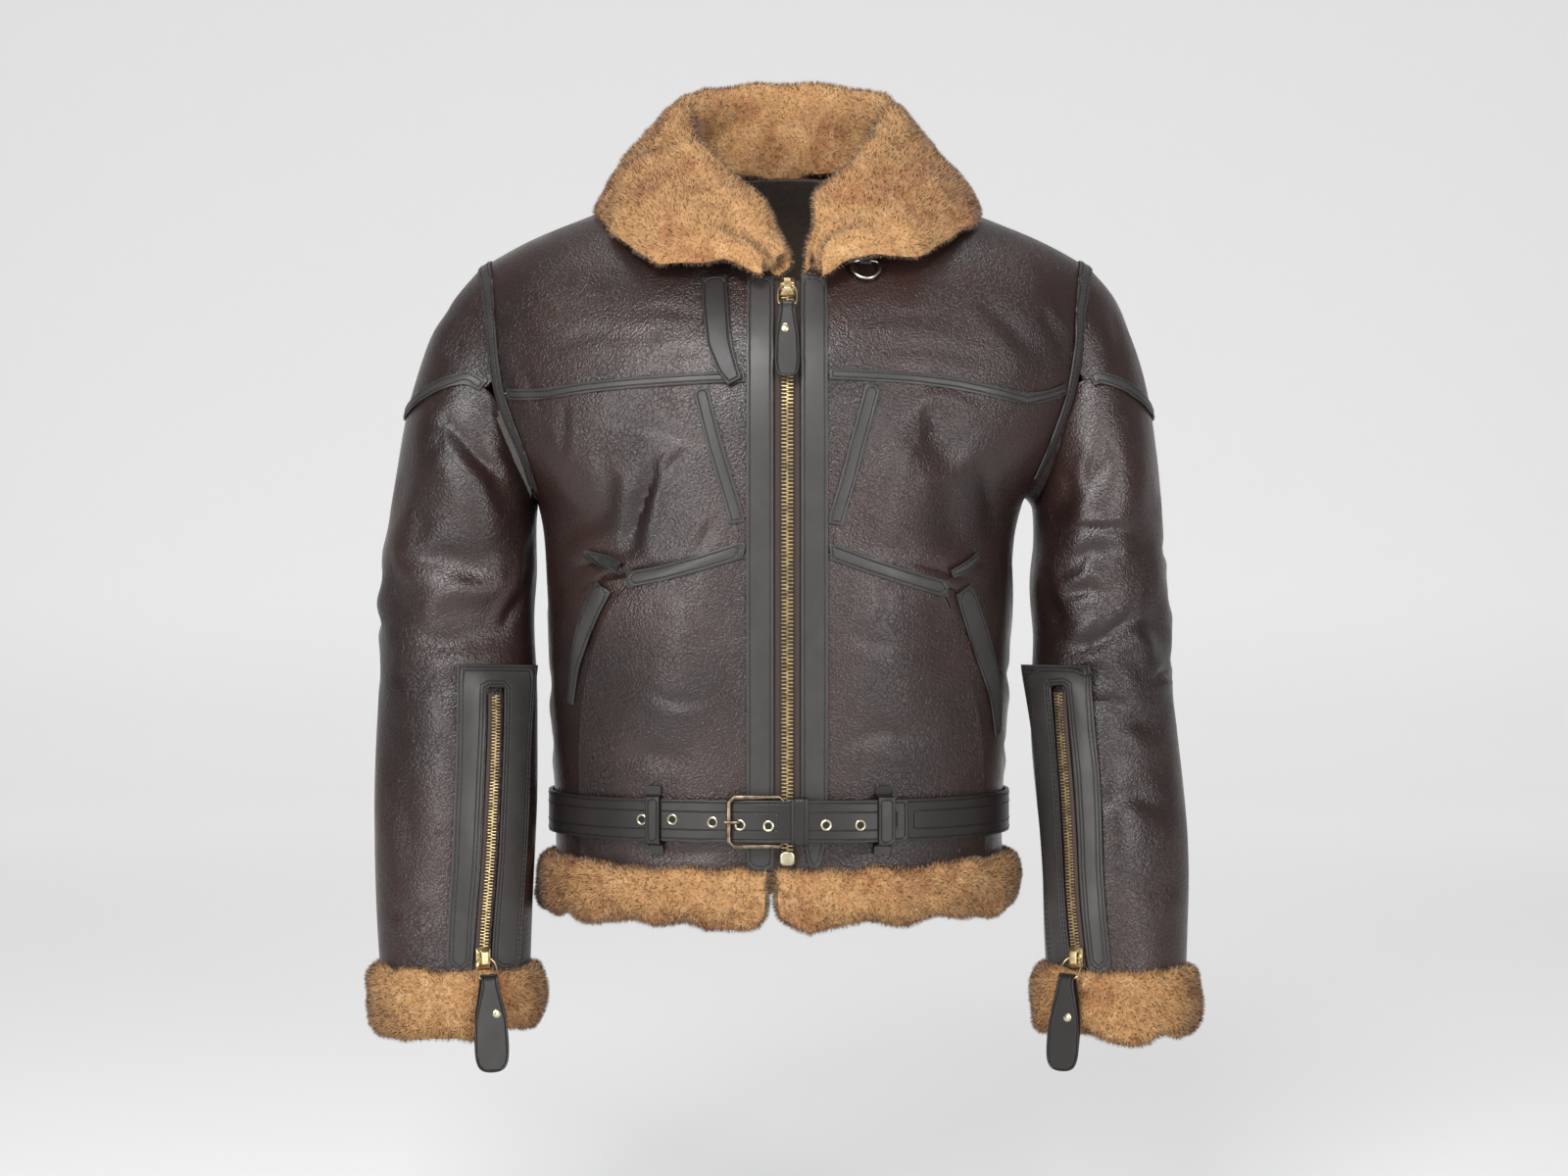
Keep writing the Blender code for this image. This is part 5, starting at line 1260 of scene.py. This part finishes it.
def zip_line(node, part, step):
    """The middle of a zip's outer face from its top to its foot, with the direction out of it."""
    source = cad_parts[node]
    surface = surface_of(source)
    low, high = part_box(node)
    mesh = bmesh.new()
    mesh.from_mesh(source.data)
    rows = []
    for height in np.arange(high.z - 0.002, low.z + 0.002, -step):
        crossing = []
        for edge in mesh.edges:
            a, b = edge.verts[0].co, edge.verts[1].co
            if (a.z - height) * (b.z - height) < 0:
                crossing.append(a.lerp(b, (height - a.z) / (b.z - a.z)))
        if not crossing:
            continue
        ring = np.array(crossing)
        middle = (ring.min(0) + ring.max(0)) / 2
        rows.append(middle)
    mesh.free()
    rows = np.array(rows)
    out = outward(rows, part)
    places = []
    for point, away in zip(rows, out):
        start = Vector(point + away * 0.02)
        hit, normal, _, _ = surface.ray_cast(start, Vector(-away))
        if hit is not None:
            places.append((np.array(hit), np.array(normal)))
    return places


def evenly_along(places, pitch):
    """Points and directions along a line of places, a pitch apart."""
    points = np.array([place[0] for place in places])
    outs = np.array([place[1] for place in places])
    steps = np.linalg.norm(np.diff(points, axis=0), axis=1)
    run = np.concatenate([[0.0], np.cumsum(steps)])
    result = []
    for at in np.arange(0.0, run[-1], pitch):
        point = np.array([np.interp(at, run, points[:, k]) for k in range(3)])
        ahead = np.array([np.interp(min(at + 0.006, run[-1]), run, points[:, k]) for k in range(3)])
        behind = np.array([np.interp(max(at - 0.006, 0.0), run, points[:, k]) for k in range(3)])
        out = np.array([np.interp(at, run, outs[:, k]) for k in range(3)])
        result.append((point, ahead - behind, out))
    return result


class JACKET_OT_zips(bpy.types.Operator):
    """Zip tapes, teeth, sliders and the foot of the front zip"""

    bl_idname = "jacket.zips"
    bl_label = "Zips"

    def execute(self, context):
        settings = context.scene.jacket_metal
        brass = metal_material("antique_brass", settings.brass_colour, 0.30)
        pale = metal_material("pale_brass", settings.eyelet_colour, 0.28, 0.7)
        tape = tape_material()
        pitch = settings.tooth_pitch_mm / 1000
        rows = (("zip_front", "body", pitch, 0.0058), ("zip_cuff_R", "sleeve_R", pitch * 0.85, 0.0044),
                ("zip_cuff_L", "sleeve_L", pitch * 0.85, 0.0044))
        for node, part, spacing, wide in rows:
            obj = copy_of(node, f"tape_of_{node}")
            crease_edges(obj, 35.0)
            subdivide(obj, 1)
            smooth(obj)
            finish_piece(obj, tape, replaces=node)
            pattern = tooth_pattern(wide, spacing * 0.86, 0.0020)
            places = []
            for k, (point, down, out) in enumerate(evenly_along(zip_line(node, part, 0.012), spacing)):
                across = np.cross(down, out)
                across /= np.linalg.norm(across)
                shift = across * wide * 0.34 * (1 if k % 2 else -1)
                places.append(place_at(point + shift + out * 0.0007, across, out))
            scatter(f"teeth_of_{node}", pattern, places, brass)
            drop_pattern(pattern)
        for name in ("front", "cuff_R", "cuff_L"):
            hard_piece(f"slider_{name}", brass, bevel=0.0006)
        hard_piece("zip_box", pale, bevel=0.0005)
        return {"FINISHED"}


class JACKET_OT_pulls(bpy.types.Operator):
    """Wire bails and leather tabs of the zips, with their rivets and stitches"""

    bl_idname = "jacket.pulls"
    bl_label = "Zip pulls"

    def execute(self, context):
        leather = context.scene.jacket_leather
        metal = context.scene.jacket_metal
        brass = metal_material("bail_brass", metal.brass_colour, 0.28)
        pale = metal_material("rivet_brass", metal.eyelet_colour, 0.25, 0.75)
        finish = smooth_leather_material(leather, "smooth_pull", leather.pull_colour, STITCHED_TABS_MM)
        thread = bpy.data.materials.get("thread")
        pulls = (("front", "pull_front", "body"), ("cuff_R", "pull_cuff_right", "sleeve_R"),
                 ("cuff_L", "pull_cuff_left", "sleeve_L"))
        for name, body, part in pulls:
            hard_piece(f"bail_{name}", brass, body=body, hold=0.0)
            tab, places = build_strip(
                f"tab_{name}", part, finish, STITCHED_TABS_MM, leather.pitch_mm / 1000, 3, body, folded=False
            )
            pattern = stitch_pattern(leather.stitch_mm / 1000, 0.0006)
            scatter(f"stitches_tab_{name}", pattern, places, thread, body=body)
            drop_pattern(pattern)
            eye, sight = sight_line(*RIVETS[f"tab_{name}"])
            hit, normal, _, _ = surface_of(tab).ray_cast(eye, sight)
            if hit is None:
                raise RuntimeError(f"the rivet of tab_{name} misses its tab")
            bpy.ops.object.select_all(action="DESELECT")
            bpy.ops.mesh.primitive_uv_sphere_add(segments=20, ring_count=10, radius=0.0038)
            pattern = bpy.context.object
            scatter(f"rivet_{name}", pattern, [place_at(hit, (1, 0, 0), normal, (1, 1, 0.42))], pale, body)
            drop_pattern(pattern)
        return {"FINISHED"}


class JACKET_OT_belt(bpy.types.Operator):
    """Belt, loops and keeper with their stitches, the buckle, its prong and the eyelets"""

    bl_idname = "jacket.belt"
    bl_label = "Belt"

    def execute(self, context):
        leather = context.scene.jacket_leather
        metal = context.scene.jacket_metal
        bronze = metal_material("bronze", metal.buckle_colour, 0.26)
        pale = metal_material("eyelet_brass", metal.eyelet_colour, 0.24, 0.75)
        pitch = leather.pitch_mm / 1000
        finish = smooth_leather_material(leather, "smooth_belt", leather.belt_colour, BELT_ROWS_MM)
        narrow = smooth_leather_material(leather, "smooth_loop", leather.belt_colour, LOOP_ROWS_MM)
        belt, places = build_strip("belt", "body", finish, BELT_ROWS_MM, pitch, 3, folded=False)
        nodes = ["keeper"] + [f"belt_loop_{place}_{side}" for place in ("front", "back") for side in SIDES]
        for node in nodes:
            places += build_strip(node, "body", narrow, LOOP_ROWS_MM, pitch, folded=False)[1]
        pattern = stitch_pattern(leather.stitch_mm / 1000, 0.0009)
        scatter("stitches_belt", pattern, places, bpy.data.materials["thread"])
        drop_pattern(pattern)
        hard_piece("buckle", bronze, bevel=0.0007)
        hard_piece("prong", bronze, hold=0.3)
        surface = surface_of(belt)
        rings = []
        hole_shades = []
        for column, row in EYELET_PIXELS:
            eye, sight = sight_line(column, row)
            hit, normal, _, _ = surface.ray_cast(eye, sight)
            if hit is None:
                raise RuntimeError("an eyelet misses the belt")
            rings.append(place_at(hit + normal * 0.0003, (1, 0, 0), normal))
            hole_shades.append(place_at(hit + normal * 0.0002, (1, 0, 0), normal))
        bpy.ops.object.select_all(action="DESELECT")
        bpy.ops.mesh.primitive_torus_add(
            major_radius=0.0036, minor_radius=0.00095, major_segments=22, minor_segments=8
        )
        pattern = bpy.context.object
        scatter("eyelets", pattern, rings, pale)
        drop_pattern(pattern)
        bpy.ops.object.select_all(action="DESELECT")
        # Dark discs of painted shade stand for the holes inside the eyelets.
        bpy.ops.mesh.primitive_cylinder_add(vertices=20, radius=0.0034, depth=0.0004)
        pattern = bpy.context.object
        scatter("eyelet_hole_shades", pattern, hole_shades, hole_shade_material())
        drop_pattern(pattern)
        return {"FINISHED"}


class JACKET_OT_ring(bpy.types.Operator):
    """Ring under the collar"""

    bl_idname = "jacket.ring"
    bl_label = "Collar ring"

    def execute(self, context):
        nickel = metal_material("nickel", context.scene.jacket_metal.nickel_colour, 0.18, 0.8)
        hard_piece("d_ring", nickel, body="collar_ring", hold=0.0)
        return {"FINISHED"}


def softbox(name, place, target, width, height, power):
    """A soft rectangular light that faces its target."""
    light = bpy.data.lights.new(name, "AREA")
    light.shape = "RECTANGLE"
    light.size = width
    light.size_y = height
    light.energy = power
    obj = bpy.data.objects.new(name, light)
    bpy.context.scene.collection.objects.link(obj)
    obj.location = place
    obj.rotation_euler = (Vector(target) - Vector(place)).to_track_quat("-Z", "Y").to_euler()


class JACKET_OT_stage(bpy.types.Operator):
    """Camera, soft lights, pale floor and backdrop"""

    bl_idname = "jacket.stage"
    bl_label = "Stage"

    def execute(self, context):
        settings = context.scene.jacket_stage
        data = bpy.data.cameras.new("camera")
        data.sensor_width = SENSOR_WIDTH
        data.lens = SENSOR_WIDTH * CAMERA_AWAY / (PHOTO_WIDTH * METRES_PER_PIXEL)
        camera = bpy.data.objects.new("camera", data)
        context.scene.collection.objects.link(camera)
        camera.location = (-METRES_PER_PIXEL, -CAMERA_AWAY, CAMERA_LEVEL)
        camera.rotation_euler = (math.pi / 2, 0.0, 0.0)
        context.scene.camera = camera

        bpy.ops.object.select_all(action="DESELECT")
        bpy.ops.mesh.primitive_plane_add(size=1.0)
        floor = context.object
        floor.name = "backdrop"
        bpy.ops.object.mode_set(mode="EDIT")
        bpy.ops.mesh.select_all(action="SELECT")
        bpy.ops.transform.resize(value=(16.0, 9.0, 1.0))
        bpy.ops.transform.translate(value=(0.0, 0.5, -0.90))
        bpy.ops.mesh.select_mode(type="EDGE")
        bpy.ops.object.mode_set(mode="OBJECT")
        mesh = bmesh.new()
        mesh.from_mesh(floor.data)
        rear = [edge for edge in mesh.edges if all(vertex.co.y > 4.0 for vertex in edge.verts)]
        for drop, back in ((0.0, 0.0), (0.06, 0.35), (0.25, 0.65), (0.6, 0.85), (5.0, 1.0)):
            if back == 0.0:
                continue
            made = bmesh.ops.extrude_edge_only(mesh, edges=rear)["geom"]
            corners = [item for item in made if isinstance(item, bmesh.types.BMVert)]
            for vertex in corners:
                vertex.co.y = 5.0 + back
                vertex.co.z = -0.90 + drop
            rear = [item for item in made if isinstance(item, bmesh.types.BMEdge)]
        mesh.to_mesh(floor.data)
        mesh.free()
        smooth(floor, 60.0)
        finish = Finish("backdrop_paper")
        away = finish.node("ShaderNodeSeparateXYZ", {}, {0: finish.place()}, "Y")
        # Painted shade: the paper is painted darker towards the camera and lighter far back, and it glows in the
        # same tone.
        near = [channel * 0.74 for channel in settings.backdrop_colour]
        tone = finish.mix(away.step(-1.5, 5.0), near, settings.backdrop_colour)
        floor.data.materials.append(
            finish.set(
                Base_Color=tone,
                Roughness=0.95,
                Emission_Color=tone,
                Emission_Strength=settings.backdrop_glow,
            )
        )

        middle = (0.0, 0.0, -0.28)
        softbox("key", (-0.5, -2.3, 1.25), middle, 0.9, 0.7, settings.key_power)
        softbox("side_right", (-1.3, -2.1, -0.05), middle, 0.4, 1.3, settings.fill_power)
        softbox("side_left", (1.3, -2.1, -0.05), middle, 0.4, 1.3, settings.fill_power)
        softbox("top", (0.0, 0.2, 2.4), middle, 1.4, 0.8, settings.fill_power)
        world = bpy.data.worlds.new("studio")
        world.use_nodes = True
        background = next(node for node in world.node_tree.nodes if node.type == "BACKGROUND")
        background.inputs["Color"].default_value = (1.0, 1.0, 1.0, 1.0)
        background.inputs["Strength"].default_value = settings.sky
        context.scene.world = world
        context.scene.view_settings.view_transform = "Standard"
        return {"FINISHED"}


class JACKET_PT_sidebar(bpy.types.Panel):
    """Lists the pieces of the jacket in the order in which they are made"""

    bl_label = "Flying jacket"
    bl_idname = "JACKET_PT_sidebar"
    bl_space_type = "VIEW_3D"
    bl_region_type = "UI"
    bl_category = "Jacket"

    def draw(self, context):
        for group, operators in PANEL_ROWS:
            box = self.layout.box()
            settings = getattr(context.scene, group)
            for name in settings.__annotations__:
                box.prop(settings, name)
            for operator in operators:
                box.operator(operator.bl_idname)


PANEL_ROWS = (
    ("jacket_leather", (JACKET_OT_panels, JACKET_OT_trims)),
    ("jacket_wool", (JACKET_OT_wool,)),
    ("jacket_metal", (JACKET_OT_zips, JACKET_OT_pulls, JACKET_OT_belt, JACKET_OT_ring)),
    ("jacket_stage", (JACKET_OT_stage,)),
)
SETTINGS = {
    "jacket_leather": LeatherSettings,
    "jacket_wool": WoolSettings,
    "jacket_metal": MetalSettings,
    "jacket_stage": StageSettings,
}
OPERATORS = tuple(operator for _, operators in PANEL_ROWS for operator in operators)


def register():
    """Adds the settings, the operators and the panel to Blender."""
    for group in SETTINGS.values():
        bpy.utils.register_class(group)
    for name, group in SETTINGS.items():
        setattr(bpy.types.Scene, name, PointerProperty(type=group))
    for item in (*OPERATORS, JACKET_PT_sidebar):
        bpy.utils.register_class(item)


def unregister():
    """Takes them out again."""
    for item in reversed((*OPERATORS, JACKET_PT_sidebar)):
        bpy.utils.unregister_class(item)
    for name in SETTINGS:
        delattr(bpy.types.Scene, name)
    for group in reversed(SETTINGS.values()):
        bpy.utils.unregister_class(group)


def main():
    """Makes the stage and every piece."""
    register()
    bpy.ops.jacket.stage()
    bpy.ops.jacket.panels()
    bpy.ops.jacket.trims()
    bpy.ops.jacket.wool()
    bpy.ops.jacket.zips()
    bpy.ops.jacket.pulls()
    bpy.ops.jacket.belt()
    bpy.ops.jacket.ring()


if __name__ == "__main__":
    main()
